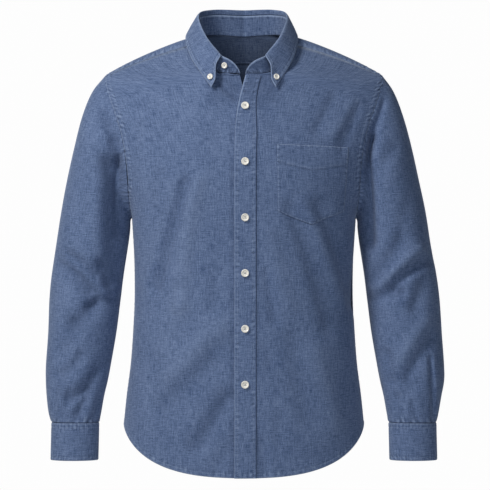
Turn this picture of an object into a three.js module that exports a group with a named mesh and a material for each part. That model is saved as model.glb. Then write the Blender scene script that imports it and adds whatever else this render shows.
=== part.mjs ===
// Long-sleeved button-down shirt, filled out as if worn: neck, cuffs and hem are open.
// Millimetres, +Z up. The front faces -Y and the wearer's left is +X.
// The origin is the middle of the neck, level with the shoulder line beside the collar.
import * as THREE from 'three';

// ---- driving sizes -------------------------------------------------------------------------
const CLOTH = 1.2;            // wall of one cloth piece
const SEAM_GAP = 0.3;         // clear between two pieces at a seam
const LAID_GAP = 0.6;         // clear under a piece that lies on a panel
const LAP_DEPTH = 2.6;        // how far the right front lies under the left one
const LAP_CLEAR = SEAM_GAP - LAP_DEPTH;
const PLACKET_WIDTH = 37;
const PLACKET_TOP_WIDTH = 27; // where the open front rolls back below the collar
const STAND_SHARE = 0.78;     // the collar stand's share of the height up to the roll line
const NECK_AXIS_Y = -12;

const BUTTON_RADIUS = 6.5;
const SMALL_BUTTON_RADIUS = 5.2;
const BUTTON_HEIGHT = 2.6;
const BUTTON_FACETS = 12;
const BUTTON_X = 2;
const BUTTON_TOP_Z = -117;
const BUTTON_SPACING = 92.7;
const BUTTON_COUNT = 6;

const CUFF_TOP_Z = -648.9;
const CUFF_HEIGHT = 63.4;
const CUFF_OPENING = 1.0;     // ring angle of the cuff's opening, towards the back
const CUFF_OVERLAP = 0.62;    // ring angle that the cuff's ends lap over each other
const CUFF_FACETS = 22;
const SLIT_WIDTH = 22;        // the sleeve's placket above the cuff

const UNDERARM = 6;           // body level where the side seam ends and the armhole starts
const YOKE_BACK = 12;         // body level of the yoke's back seam
const NECK_FRONT = 12;        // body level of the front corner of the neck
const NECK_BACK = 13;         // body level of the back neck point
const SHOULDER = 15;          // body level of the shoulder line
const YOKE_FRONT = 14.7;      // body level of the yoke's front seam
const PANEL_COLUMNS = 14;     // facets from the centre edge to the side or armhole
const SLEEVE_END = 14;        // last ring of the sleeve

const CLOTH_COLOUR = 0x5a6a87;
const BUTTON_COLOUR = 0xd8cfba;

// ---- tables --------------------------------------------------------------------------------
// Turns a header and rows of numbers into one object for each row.
function table(header, rows) {
  const names = header.split(' ');
  return rows.map((row) => Object.fromEntries(names.map((name, i) => [name, row[i]])));
}

// Levels of the front, from the hem up to the shoulder line. Each level runs from the centre edge
// (on the placket, later on the neck seam) to the side seam, and above the underarm to the armhole.
// "over" is the edge x of the wearer's left front, which laps over "under", that of the right one.
// "bend" 1 is an elliptical level, less is squarer, 2 is straight. "turn" is how far the level
// has turned, in degrees, where it stops at the side or armhole.
const FRONT = table('over under y z sideX sideY sideZ bend turn', [
  [-16, -21, -122, -736, 204, 4, -653, 0.86, 90],
  [-16, -21, -121, -668, 199, 4, -604, 0.86, 90],
  [-16, -21, -118, -598, 192, 4, -549, 0.86, 90],
  [-16, -21, -115, -526, 187.8, 4, -492, 0.86, 90],
  [-16, -21, -113, -452, 185.3, 4, -433, 0.86, 90],
  [-16, -21, -114, -378, 186.2, 4, -368, 0.86, 90],
  [-16, -21, -118, -306, 190, 4, -302, 0.86, 90],
  [-16, -21, -120, -264, 193.5, -22, -278, 0.86, 80],
  [-16, -21, -120, -224, 196, -44, -244, 0.88, 70],
  [-15.5, -19, -116, -184, 199, -53, -206, 0.92, 66],
  [-14, -14, -108, -146, 205, -52, -170, 1, 66],
  [-8, -4, -97, -106, 214.5, -45, -136, 1.12, 70],
  [3, 7, -82, -62, 226, -33, -104, 1.3, 76],
  [43, 42, -76.5, -59, 233, -18, -81, 1.48, 82],
  [72, 72, -46, -36, 235.6, -5, -67, 1.64, 87],
  [84, 84, 2, 6, 236.3, 7, -61, 1.75, 90],
]);

// The same levels on the back, from the centre back to the side seam or armhole.
const BACK = table('x y z sideX sideY sideZ bend turn', [
  [0, 119, -738, 204, 4, -653, 0.86, 90],
  [0, 117, -670, 199, 4, -604, 0.86, 90],
  [0, 112, -600, 192, 4, -549, 0.86, 90],
  [0, 104, -528, 187.8, 4, -492, 0.86, 90],
  [0, 97, -452, 185.3, 4, -433, 0.86, 90],
  [0, 97, -378, 186.2, 4, -368, 0.86, 90],
  [0, 103, -306, 190, 4, -302, 0.86, 90],
  [0, 108, -264, 193.5, 34, -278, 0.86, 77],
  [0, 111, -224, 196.5, 55, -244, 0.88, 65],
  [0, 111, -182, 200.5, 64, -206, 0.92, 60],
  [0, 107, -140, 207.5, 66, -170, 1, 60],
  [0, 98, -92, 217, 60, -134, 1.14, 66],
  [0, 83, -36, 229, 43, -93, 1.34, 76],
  [0, 64, 9.5, 234, 30, -76, 1.5, 82],
  [55, 50, 12, 236, 17, -66, 1.64, 87],
  [84, 2, 6, 236.3, 7, -61, 1.75, 90],
]);

// Rings of the sleeve, from the armhole down to the cuff. Each ring runs from its outer point
// to its inner point under the arm, and bulges "depth" to the front and back of "middleY".
const SLEEVE = table('rightOutX leftOutX outZ inX inZ middleY depth', [
  [236.3, 236.3, -61, 190, -302, 6, 60],
  [258, 255, -88, 192, -307, 6, 63],
  [275, 271, -129, 193, -312, 7, 65],
  [289, 286, -184, 193.2, -317, 8, 65],
  [301, 298, -238, 193.6, -322, 9, 64],
  [311, 309.5, -292, 194.4, -330, 10, 63],
  [319.5, 318, -347, 197, -349, 11, 62],
  [327.3, 327.8, -398, 204.6, -398, 12, 61],
  [331.3, 333.4, -442, 210, -442, 11, 60],
  [333, 336.8, -496, 216.8, -496, 7, 57],
  [336.4, 340.2, -551, 226, -551, 0, 52],
  [336.4, 340.2, -578, 231, -578, -4, 49],
  [334.7, 335.1, -605, 237.2, -605, -8, 44],
  [331.3, 330, -632, 241.8, -632, -12, 38],
  [326.4, 326.4, -648.5, 245, -648.5, -14, 33.5],
]);

// Stations of the collar round the neck seam: the back neck, the side back, the shoulder line,
// the side front and the end of the leaf. "fold" is the roll line, "edge" the leaf's outer edge.
const COLLAR = table('rightFoldX leftFoldX foldY foldZ rightEdgeX leftEdgeX edgeY edgeZ', [
  [0, 0, 57, 55, 0, 0, 76, 4],
  [54, 51, 40, 54.5, 66, 62, 61, 8.5],
  [77, 72.5, 3, 43, 98.5, 91, 8, 9.5],
  [64, 61, -51, 4, 90, 85, -52, -32],
  [38, 35.5, -82, -31, 55, 54, -93, -85],
]);
const LEAF_END = 4;
const STAND_END = 5;

// Columns of the chest pocket, from the placket side outwards: shares of its width and the
// height of its lower edge.
const POCKET = table('share bottomZ', [
  [0, -292],
  [0.13, -299],
  [0.31, -307],
  [0.5, -315],
  [0.69, -307],
  [0.87, -299],
  [1, -292],
]);
const POCKET_TOP = { leftX: 54, rightX: 175.5, leftZ: -180.5, rightZ: -185 };
const POCKET_FOOT = { leftX: 56, rightX: 168 };
const POCKET_ROWS = 6;

// Broad folds of the cloth: a soft trough along a straight line on one face.
const FOLDS = table('face fromX fromZ toX toZ width depth', [
  ['rightFront', -104, -258, -162, -418, 26, 4],
  ['leftFront', 120, -430, 168, -600, 30, 3],
  ['back', -120, -190, -60, -330, 30, 4],
  ['back', 118, -185, 66, -350, 30, 4],
  ['back', -60, -400, -150, -560, 34, 4],
  ['back', 70, -420, 150, -590, 34, 4],
  ['rightSleeveFront', -245, -322, -214, -405, 13, 5],
  ['rightSleeveFront', -256, -450, -214, -440, 12, 4],
  ['rightSleeveFront', -313, -382, -280, -420, 16, 4],
  ['leftSleeveFront', 309, -374, 252, -416, 14, 5],
  ['leftSleeveFront', 262, -372, 218, -410, 12, 4],
  ['rightSleeveBack', -300, -400, -230, -440, 16, 5],
  ['rightSleeveBack', -310, -450, -235, -470, 16, 4],
  ['leftSleeveBack', 296, -396, 228, -436, 16, 5],
  ['leftSleeveBack', 312, -456, 238, -474, 16, 4],
]);

// ---- small tools ---------------------------------------------------------------------------
const clamp = (value, low, high) => Math.min(high, Math.max(low, value));
const mix = (a, b, t) => a + (b - a) * t;
const ease = (from, to, value) => {
  const t = clamp((value - from) / (to - from), 0, 1);
  return t * t * (3 - 2 * t);
};
const radians = (degrees) => degrees * Math.PI / 180;

// Numbers from one end to the other, about "step" apart.
function spaced(from, to, step) {
  const count = Math.round(Math.abs(to - from) / step);
  return Array.from({ length: count + 1 }, (_, i) => mix(from, to, i / count));
}

// Reads a column of a table between its rows, on a smooth curve that may turn sharply at the
// row "corner".
function along(rows, name, level, corner = 0) {
  const last = rows.length - 1;
  const i = Math.min(Math.floor(level), last - 1);
  const t = level - i;
  const value = (row) => rows[row][name];
  const slope = (row, neighbour) => {
    const oneSided = row === 0 || row === last || row === corner;
    if (oneSided) return (value(neighbour) - value(row)) * (neighbour - row);
    return (value(row + 1) - value(row - 1)) / 2;
  };
  const t2 = t * t;
  const t3 = t2 * t;
  return value(i) * (2 * t3 - 3 * t2 + 1) + slope(i, i + 1) * (t3 - 2 * t2 + t)
    + value(i + 1) * (3 * t2 - 2 * t3) + slope(i + 1, i) * (t3 - t2);
}

// ---- the body's surface --------------------------------------------------------------------
// Height along a level: the shirt tail's curve at the hem, the shoulder's slope at the top.
function rise(u, level) {
  const tail = Math.pow(u, 2.4) * (1.45 - 0.45 * Math.pow(u, 4));
  const slope = 1 - Math.pow(Math.cos(u * Math.PI / 2), 1.75);
  return mix(tail, slope, ease(UNDERARM - 1, UNDERARM + 3, level));
}

// The shape of one level. "side" is 1 on the wearer's left and -1 on the right.
function levelShape(rows, side, level) {
  const edge = side > 0 ? 'over' : 'under';
  const centreX = rows === FRONT ? edge : 'x';
  const corner = rows === FRONT ? NECK_FRONT : NECK_BACK;
  return {
    centre: [centreX, 'y', 'z'].map((name) => along(rows, name, level, corner)),
    end: ['sideX', 'sideY', 'sideZ'].map((name) => along(rows, name, level, UNDERARM)),
    bend: along(rows, 'bend', level),
    turn: radians(clamp(along(rows, 'turn', level), 0, 90)),
  };
}

// A point of the body at "u" from the centre edge (0) to the side or armhole (1).
function bodyPoint(rows, side, u, level) {
  const { centre, end, bend, turn } = levelShape(rows, side, level);
  const cosine = (angle) => Math.pow(Math.max(Math.cos(angle), 0), bend);
  const out = Math.pow(Math.sin(u * turn) / Math.sin(turn), bend);
  const round = (cosine(u * turn) - cosine(turn)) / (1 - cosine(turn));
  return new THREE.Vector3(
    side * mix(centre[0], end[0], out),
    mix(end[1], centre[1], round),
    mix(centre[2], end[2], rise(u, level)),
  );
}

const frontPoint = (side, u, level) => bodyPoint(FRONT, side, u, level);
const backPoint = (side, u, level) => bodyPoint(BACK, side, u, level);

// The neck seam at a collar station, from the back neck (0) over the shoulder line (2) to the
// front corner (5).
function neckPoint(side, station) {
  const shoulderStation = SHOULDER - NECK_BACK;
  return station <= shoulderStation
    ? backPoint(side, 0, NECK_BACK + station)
    : frontPoint(side, 0, SHOULDER - (station - shoulderStation));
}

// The place (u, level) of the left front that lies at (x, z), found by Newton's steps.
function placeOnFront(x, z) {
  const small = 1e-3;
  let u = 0.4;
  let level = 8;
  for (let pass = 0; pass < 30; pass += 1) {
    const here = frontPoint(1, u, level);
    const alongU = frontPoint(1, u + small, level).sub(here).divideScalar(small);
    const alongLevel = frontPoint(1, u, level + small).sub(here).divideScalar(small);
    const determinant = alongU.x * alongLevel.z - alongLevel.x * alongU.z;
    const missX = x - here.x;
    const missZ = z - here.z;
    const stepU = (missX * alongLevel.z - missZ * alongLevel.x) / determinant;
    const stepLevel = (alongU.x * missZ - alongU.z * missX) / determinant;
    u = clamp(u + clamp(stepU, -0.1, 0.1), 0, 0.98);
    level = clamp(level + clamp(stepLevel, -1, 1), 0, NECK_FRONT);
  }
  return { u, level };
}

// The left front's surface raised by "lift" at a place.
function raisedFront({ u, level }, lift) {
  const small = 1e-3;
  const here = frontPoint(1, u, level);
  const alongU = frontPoint(1, u + small, level).sub(here);
  const alongLevel = frontPoint(1, u, level + small).sub(here);
  const normal = alongU.cross(alongLevel).normalize();
  const height = lift - foldDepth('leftFront', here.x, here.z);
  return { point: here.addScaledVector(normal, height), normal };
}

// How far the broad folds of a face sink its surface at (x, z).
function foldDepth(face, x, z) {
  let sum = 0;
  for (const fold of FOLDS.filter((row) => row.face === face)) {
    const dx = fold.toX - fold.fromX;
    const dz = fold.toZ - fold.fromZ;
    const share = ((x - fold.fromX) * dx + (z - fold.fromZ) * dz) / (dx * dx + dz * dz);
    const t = clamp(share, 0, 1);
    const away = Math.hypot(x - fold.fromX - dx * t, z - fold.fromZ - dz * t);
    sum += fold.depth * Math.exp(-((away / fold.width) ** 2));
  }
  return sum;
}

// ---- cloth pieces as walls -----------------------------------------------------------------
function solid(points, triangles) {
  const geometry = new THREE.BufferGeometry();
  const positions = new Float32Array(points.flatMap((point) => point.toArray()));
  geometry.setAttribute('position', new THREE.BufferAttribute(positions, 3));
  geometry.setIndex(triangles.flat());
  geometry.computeVertexNormals();
  return geometry;
}

// The sewn pieces share one welded surface, so that two pieces agree on the direction of the
// wall at their seam. Each piece is then cut out of it as a closed wall.
class Garment {
  constructor() {
    this.points = [];
    this.sinks = [];
    this.index = new Map();
    this.pieces = new Map();
  }

  vertex({ point, sink = 0 }) {
    const key = point.toArray().map((value) => Math.round(value * 50)).join();
    if (!this.index.has(key)) {
      this.index.set(key, this.points.length);
      this.points.push(point);
      this.sinks.push(sink);
    }
    return this.index.get(key);
  }

  // Adds a grid of {point, sink} to a piece. "mirrored" turns its faces over.
  grid(piece, rows, mirrored) {
    const ids = rows.map((row) => row.map((vertex) => this.vertex(vertex)));
    if (!this.pieces.has(piece)) this.pieces.set(piece, []);
    const faces = this.pieces.get(piece);
    for (let r = 0; r + 1 < ids.length; r += 1) {
      for (let c = 0; c + 1 < ids[r].length; c += 1) {
        const quad = [ids[r][c], ids[r][c + 1], ids[r + 1][c + 1], ids[r + 1][c]];
        if (mirrored) quad.reverse();
        const halves = [[quad[0], quad[1], quad[2]], [quad[0], quad[2], quad[3]]];
        faces.push(...halves.filter((face) => new Set(face).size === 3));
      }
    }
  }

  faceNormal([a, b, c]) {
    const origin = this.points[a];
    const first = this.points[b].clone().sub(origin);
    return first.cross(this.points[c].clone().sub(origin));
  }

  // Sums the normals of some faces at their corners.
  normalsOf(faces) {
    const normals = new Map();
    for (const face of faces) {
      const normal = this.faceNormal(face);
      for (const id of face) {
        if (!normals.has(id)) normals.set(id, new THREE.Vector3());
        normals.get(id).add(normal);
      }
    }
    normals.forEach((normal) => normal.normalize());
    return normals;
  }

  // Presses the folds in along the normals of the whole garment.
  settle() {
    const shared = this.normalsOf([...this.pieces.values()].flat());
    this.points.forEach((point, id) => point.addScaledVector(shared.get(id), -this.sinks[id]));
    this.shared = this.normalsOf([...this.pieces.values()].flat());
  }

  // The open edges of some faces, each with its direction into the piece.
  borderOf(faces) {
    const border = new Map();
    for (const face of faces) {
      const normal = this.faceNormal(face).normalize();
      face.forEach((from, i) => {
        const to = face[(i + 1) % 3];
        if (border.delete(`${to} ${from}`)) return;
        const direction = this.points[to].clone().sub(this.points[from]).normalize();
        border.set(`${from} ${to}`, { from, to, inward: normal.clone().cross(direction) });
      });
    }
    return [...border.values()];
  }

  // The closed wall of a piece: outer face, inner face and rim, cut back for the seam gap.
  wall(piece, thickness = CLOTH) {
    const faces = this.pieces.get(piece);
    const border = this.borderOf(faces);
    const own = this.normalsOf(faces);
    const cuts = new Map();
    for (const { from, to, inward } of border) {
      for (const id of [from, to]) cuts.set(id, [...(cuts.get(id) ?? []), inward]);
    }
    const outer = [];
    const inner = [];
    const place = new Map();
    for (const [id, ownNormal] of own) {
      const shared = this.shared.get(id);
      const agreement = ownNormal.dot(shared);
      const point = this.points[id].clone();
      if (cuts.has(id)) {
        const cut = cuts.get(id).reduce((sum, inward) => sum.add(inward), new THREE.Vector3());
        const spread = Math.max(cut.length() / cuts.get(id).length, 0.5);
        const gap = SEAM_GAP / 2 / Math.max(agreement, 0.3);
        point.addScaledVector(cut.normalize(), gap / spread);
      }
      const mitred = agreement > 0.75;
      const depth = thickness / (mitred ? agreement : 1);
      place.set(id, outer.length);
      outer.push(point);
      inner.push(point.clone().addScaledVector(mitred ? shared : ownNormal, -depth));
    }
    const count = outer.length;
    const triangles = [];
    for (const face of faces) {
      const [a, b, c] = face.map((id) => place.get(id));
      triangles.push([a, b, c], [a + count, c + count, b + count]);
    }
    for (const { from, to } of border) {
      const [a, b] = [place.get(from), place.get(to)];
      triangles.push([a, a + count, b + count], [a, b + count, b]);
    }
    return solid([...outer, ...inner], triangles);
  }
}

// A wall on its own, from one grid of points.
function looseWall(rows, mirrored, thickness = CLOTH) {
  const piece = new Garment();
  piece.grid('wall', rows.map((row) => row.map((point) => ({ point }))), mirrored);
  piece.settle();
  return piece.wall('wall', thickness);
}

// ---- body panels ---------------------------------------------------------------------------
const columns = spaced(0, 1, 1 / PANEL_COLUMNS);
const sideLevels = spaced(0, UNDERARM, 0.5);
const chestLevels = spaced(UNDERARM + 1, NECK_FRONT, 1);
const neckLevels = [...spaced(NECK_FRONT + 0.5, 14, 0.5), YOKE_FRONT];
const frontLevels = [...sideLevels, ...chestLevels, ...neckLevels];
const backLevels = [...sideLevels, ...chestLevels];
const yokeLevels = spaced(YOKE_BACK, SHOULDER, 0.5);

// The right front passes under the left one, so it lies deeper near the centre.
function lapDepth(side, point) {
  return side < 0 ? LAP_DEPTH * (1 - ease(30, 75, -point.x)) : 0;
}

function frontVertex(side, u, level) {
  const point = frontPoint(side, u, level);
  const face = side > 0 ? 'leftFront' : 'rightFront';
  return { point, sink: foldDepth(face, point.x, point.z) + lapDepth(side, point) };
}

function backVertex(side, u, level) {
  const point = backPoint(side, u, level);
  const shown = ease(1, 0.85, u) * ease(YOKE_BACK, YOKE_BACK - 2, level);
  return { point, sink: shown * foldDepth('back', point.x, point.z) };
}

function addPanels(shirt, side) {
  const front = side > 0 ? 'front_left' : 'front_right';
  const acrossRows = (levels, vertexAt) => (
    levels.map((level) => columns.map((u) => vertexAt(side, u, level)))
  );
  const yokeBack = acrossRows(yokeLevels, (...place) => ({ point: backPoint(...place) }));
  const yokeFront = acrossRows([YOKE_FRONT], (...place) => ({ point: frontPoint(...place) }));
  shirt.grid(front, acrossRows(frontLevels, frontVertex), side < 0);
  shirt.grid('back', acrossRows(backLevels, backVertex), side > 0);
  shirt.grid('yoke', [...yokeBack, ...yokeFront], side > 0);
}

// ---- sleeves -------------------------------------------------------------------------------
// The armhole once round: up the front from the underarm, over the shoulder, down the back.
function armhole(side) {
  const frontRow = [UNDERARM, ...chestLevels, ...neckLevels];
  const backRow = [...chestLevels.slice(0, -1), ...yokeLevels].reverse();
  return [
    ...frontRow.map((level) => frontPoint(side, 1, level)),
    ...backRow.map((level) => backPoint(side, 1, level)),
  ];
}

// A point on a ring of the sleeve: the angle is 0 at its outer point, pi at its inner one, and
// negative towards the front.
function ringPoint(side, level, angle) {
  const size = (name) => along(SLEEVE, name, level);
  const outX = size(side > 0 ? 'leftOutX' : 'rightOutX');
  const reach = (1 + Math.cos(angle)) / 2;
  return new THREE.Vector3(
    side * mix(size('inX'), outX, reach),
    size('middleY') + size('depth') * Math.sin(angle),
    mix(size('inZ'), size('outZ'), reach),
  );
}

// The ring angle at which a point of the armhole lies.
function ringAngle(side, point) {
  const top = ringPoint(side, 0, 0);
  const bottom = ringPoint(side, 0, Math.PI);
  const axis = top.clone().sub(bottom).multiplyScalar(0.5);
  const middle = top.clone().add(bottom).multiplyScalar(0.5);
  const up = point.clone().sub(middle).dot(axis) / axis.lengthSq();
  return Math.atan2((point.y - SLEEVE[0].middleY) / SLEEVE[0].depth, up);
}

// The sleeve's rings follow the armhole at first and their own ovals further down.
function sleeveRows(side) {
  const levels = [...spaced(0, 2, 0.5), 3, 4, 5, ...spaced(6, SLEEVE_END, 0.5)];
  const loop = armhole(side).map((point) => ({ point, angle: ringAngle(side, point) }));
  const arm = side > 0 ? 'leftSleeve' : 'rightSleeve';
  return levels.map((level) => {
    const row = loop.map(({ point, angle }) => {
      const strayed = point.clone().sub(ringPoint(side, 0, angle));
      const place = ringPoint(side, level, angle).addScaledVector(strayed, 1 - ease(0, 3, level));
      const shown = Math.abs(Math.sin(angle)) * ease(SLEEVE_END, SLEEVE_END - 1, level);
      const face = arm + (angle < 0 ? 'Front' : 'Back');
      return { point: place, sink: level > 0 ? shown * foldDepth(face, place.x, place.z) : 0 };
    });
    return [...row, row[0]];
  });
}

// A cuff is a band whose ends lap at the back of the wrist. "angle" runs from its lower end,
// and "down" from its upper edge (0) to its lower edge (1).
function cuffPoint(side, angle, down) {
  const end = SLEEVE[SLEEVE_END];
  const lift = (CLOTH + LAID_GAP) * ease(2 * Math.PI - 0.9, 2 * Math.PI, angle);
  const halfX = (end.rightOutX - end.inX) / 2 + lift;
  const middleX = (end.rightOutX + end.inX) / 2 + 1.5 * down;
  return new THREE.Vector3(
    side * (middleX + halfX * Math.cos(CUFF_OPENING + angle)),
    end.middleY + (end.depth + lift) * Math.sin(CUFF_OPENING + angle),
    CUFF_TOP_Z - CUFF_HEIGHT * down,
  );
}

function cuffRows(side) {
  const whole = 2 * Math.PI + CUFF_OVERLAP;
  const angles = spaced(0, whole, whole / CUFF_FACETS);
  return [0, 0.5, 1].map((down) => angles.map((angle) => cuffPoint(side, angle, down)));
}

// The pointed placket over the sleeve's slit, laid on the sleeve above the cuff's opening.
function sleevePlacketRows(side) {
  const topLevel = 9.6;
  const aboveCuff = 0.08;
  const middle = CUFF_OPENING + CUFF_OVERLAP / 2;
  return spaced(SLEEVE_END - aboveCuff, topLevel, 0.55).map((level) => {
    const toTip = ease(topLevel, topLevel + 0.5, level);
    return [-0.5, 0, 0.5].map((share) => {
      const middlePoint = ringPoint(side, level, middle);
      const small = 1e-3;
      const across = ringPoint(side, level, middle + small).sub(middlePoint).normalize();
      const offset = share * SLIT_WIDTH * mix(0.15, 1, toTip);
      const angleStep = offset / ringPoint(side, level, middle + 1).distanceTo(middlePoint);
      const point = ringPoint(side, level, middle + angleStep);
      const up = ringPoint(side, level - small, middle).sub(middlePoint).normalize();
      const normal = across.cross(up).multiplyScalar(side);
      return point.addScaledVector(normal, LAID_GAP + CLOTH);
    });
  });
}

// ---- collar --------------------------------------------------------------------------------
// A point of the "Fold" or the "Edge" line.
function collarPoint(side, line, station) {
  const value = (name) => along(COLLAR, name, station);
  const x = value((side > 0 ? 'left' : 'right') + line + 'X');
  const lower = line.toLowerCase();
  return new THREE.Vector3(side * x, value(`${lower}Y`), value(`${lower}Z`));
}

// The stand's upper edge: below the roll line, then rounded down to the front corner.
function standTop(side, station) {
  const neck = neckPoint(side, station);
  const fold = collarPoint(side, 'Fold', Math.min(station, LEAF_END));
  const share = mix(STAND_SHARE, 0.94, ease(LEAF_END - 1, LEAF_END, station));
  const height = fold.sub(neckPoint(side, Math.min(station, LEAF_END))).multiplyScalar(share);
  const past = Math.max(station - LEAF_END, 0);
  const rounded = Math.max(Math.pow(1 - past * past, 0.75), 0.12);
  return neck.addScaledVector(height, rounded);
}

function standPoint(side, station, share) {
  return neckPoint(side, station).lerp(standTop(side, station), share);
}

function addStand(shirt, side) {
  const shoulderStation = SHOULDER - NECK_BACK;
  const yokeStation = shoulderStation + SHOULDER - YOKE_FRONT;
  const stations = [...spaced(0, shoulderStation, 0.5), yokeStation, ...spaced(3, STAND_END, 0.5)];
  const rows = [0, 0.5, 1].map((share) => stations.map((station) => {
    const point = standPoint(side, station, share);
    const sink = station > shoulderStation ? lapDepth(side, point) : 0;
    return { point, sink };
  }));
  shirt.grid('collar_stand', rows, side > 0);
}

function outwardOf(fold) {
  return new THREE.Vector3(fold.x, fold.y - NECK_AXIS_Y, 0).normalize();
}

// The leaf outside the roll line, from its shoulder (0) to its edge (1). Its front edge is curved
// like an S.
function leafFall(side, station, share) {
  const fold = collarPoint(side, 'Fold', station);
  const outward = outwardOf(fold);
  const shoulder = fold.addScaledVector(outward, 3.4).add(new THREE.Vector3(0, 0, -2.6));
  const point = shoulder.lerp(collarPoint(side, 'Edge', station), share);
  point.addScaledVector(outward, 3 * Math.sin(share * Math.PI));
  point.x += side * 3 * Math.sin(share * 2 * Math.PI) * ease(LEAF_END - 0.8, LEAF_END, station);
  return point;
}

// The leaf in section: up from the stand, over the roll line and down the outside.
function leafRow(side, station) {
  const fold = collarPoint(side, 'Fold', station);
  const outward = outwardOf(fold);
  const foot = standTop(side, station).addScaledVector(outward, -CLOTH);
  foot.z += 0.5;
  const inside = foot.clone().lerp(fold, 0.75).addScaledVector(outward, -0.8);
  const falls = [0, 0.25, 0.5, 0.75, 1].map((share) => leafFall(side, station, share));
  return [foot, inside, fold, ...falls];
}

function leafRows() {
  const stations = [...spaced(0, LEAF_END - 1, 0.5), ...spaced(LEAF_END - 0.75, LEAF_END, 0.25)];
  const right = stations.slice(1).reverse().map((station) => leafRow(-1, station));
  return [...right, ...stations.map((station) => leafRow(1, station))];
}

// ---- laid pieces ---------------------------------------------------------------------------
// The u at which a level has run "width" away from the left front's edge.
function placketPlace(width, level) {
  const { centre, end, bend, turn } = levelShape(FRONT, 1, level);
  const share = Math.pow(width / (end[0] - centre[0]), 1 / bend);
  return { u: Math.asin(share * Math.sin(turn)) / turn, level };
}

function placketRows() {
  const belowStand = 0.06;
  const levels = spaced(0, NECK_FRONT, 0.5);
  return levels.map((upTo) => {
    const level = Math.min(upTo, NECK_FRONT - belowStand);
    const width = mix(PLACKET_WIDTH, PLACKET_TOP_WIDTH, ease(9.5, 11.7, level));
    return [0, 1 / 3, 2 / 3, 1].map((share) => (
      raisedFront(placketPlace(share * width, level), LAID_GAP + CLOTH).point
    ));
  });
}

function pocketRows() {
  return spaced(0, 1, 1 / POCKET_ROWS).map((down) => POCKET.map(({ share, bottomZ }) => {
    const x = mix(
      mix(POCKET_TOP.leftX, POCKET_TOP.rightX, share),
      mix(POCKET_FOOT.leftX, POCKET_FOOT.rightX, share),
      down,
    );
    const z = mix(mix(POCKET_TOP.leftZ, POCKET_TOP.rightZ, share), bottomZ, down);
    return raisedFront(placeOnFront(x, z), LAID_GAP + CLOTH).point;
  }));
}

// ---- buttons -------------------------------------------------------------------------------
// A round button with a raised rim, its back at the origin and its face along +Y.
function buttonGeometry(radius) {
  const dish = 0.62 * radius;
  const profile = [
    [0, 0],
    [radius - 0.7, 0],
    [radius, 1.2],
    [radius - 1, BUTTON_HEIGHT],
    [dish, BUTTON_HEIGHT - 0.8],
    [0, BUTTON_HEIGHT - 0.8],
  ].map(([x, y]) => new THREE.Vector2(x, y));
  return new THREE.LatheGeometry(profile, BUTTON_FACETS);
}

function button(name, radius, { point, normal }) {
  const material = new THREE.MeshStandardMaterial({ color: BUTTON_COLOUR, roughness: 0.35 });
  const mesh = new THREE.Mesh(buttonGeometry(radius), material);
  mesh.name = name;
  mesh.position.copy(point);
  mesh.quaternion.setFromUnitVectors(new THREE.Vector3(0, 1, 0), normal);
  return mesh;
}

// A seat on a surface given by two shares, "lift" above it. "handed" turns the normal outwards.
function seat(surface, first, second, handed, lift) {
  const small = 1e-3;
  const point = surface(first, second);
  const alongFirst = surface(first + small, second).sub(point);
  const alongSecond = surface(first, second + small).sub(point);
  const normal = alongFirst.cross(alongSecond).multiplyScalar(handed).normalize();
  return { point: point.addScaledVector(normal, lift), normal };
}

function frontButtons() {
  const lift = LAID_GAP + CLOTH + SEAM_GAP;
  return Array.from({ length: BUTTON_COUNT }, (_, i) => {
    const place = placeOnFront(BUTTON_X, BUTTON_TOP_Z - i * BUTTON_SPACING);
    return button(`button_front_${i + 1}`, BUTTON_RADIUS, raisedFront(place, lift));
  });
}

function collarButtons() {
  const sunk = LAP_CLEAR - 2 * SEAM_GAP;
  const standSeat = seat((a, b) => standPoint(-1, a, b), 4.22, 0.5, 1, sunk);
  return [
    button('button_collar_stand', SMALL_BUTTON_RADIUS, standSeat),
    ...[[1, 'left'], [-1, 'right']].map(([side, wearers]) => {
      const leafSeat = seat((a, b) => leafFall(side, a, b), 3.84, 0.82, side, 2 * SEAM_GAP);
      return button(`button_collar_${wearers}`, SMALL_BUTTON_RADIUS, leafSeat);
    }),
  ];
}

function sleeveButtons(side, wearers) {
  const lap = CUFF_OPENING + CUFF_OVERLAP / 2;
  const onCuff = (angle, down) => cuffPoint(side, 2 * Math.PI + angle - CUFF_OPENING, down);
  const onSlit = (angle, level) => ringPoint(side, level, angle);
  const slitLift = LAID_GAP + CLOTH + SEAM_GAP;
  return [
    button(`button_cuff_${wearers}`, SMALL_BUTTON_RADIUS, seat(onCuff, lap, 0.5, -side, SEAM_GAP)),
    button(`button_slit_${wearers}`, SMALL_BUTTON_RADIUS, seat(onSlit, lap, 12, -side, slitLift)),
  ];
}

// ---- the shirt -----------------------------------------------------------------------------
function cloth(name, geometry) {
  const material = new THREE.MeshStandardMaterial({ color: CLOTH_COLOUR, roughness: 0.95 });
  const mesh = new THREE.Mesh(geometry, material);
  mesh.name = name;
  return mesh;
}

const shirt = new Garment();
for (const side of [1, -1]) {
  addPanels(shirt, side);
  addStand(shirt, side);
  shirt.grid(side > 0 ? 'sleeve_left' : 'sleeve_right', sleeveRows(side), side > 0);
}
shirt.settle();

const part = new THREE.Group();
for (const name of shirt.pieces.keys()) {
  part.add(cloth(name, shirt.wall(name)));
}
part.add(cloth('collar_leaf', looseWall(leafRows(), true)));
part.add(cloth('front_placket', looseWall(placketRows(), false)));
part.add(cloth('chest_pocket', looseWall(pocketRows(), true)));
for (const [side, wearers] of [[1, 'left'], [-1, 'right']]) {
  part.add(cloth(`cuff_${wearers}`, looseWall(cuffRows(side), side > 0)));
  part.add(cloth(`sleeve_placket_${wearers}`, looseWall(sleevePlacketRows(side), side < 0)));
  part.add(...sleeveButtons(side, wearers));
}
part.add(...frontButtons(), ...collarButtons());

export default part;
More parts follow.
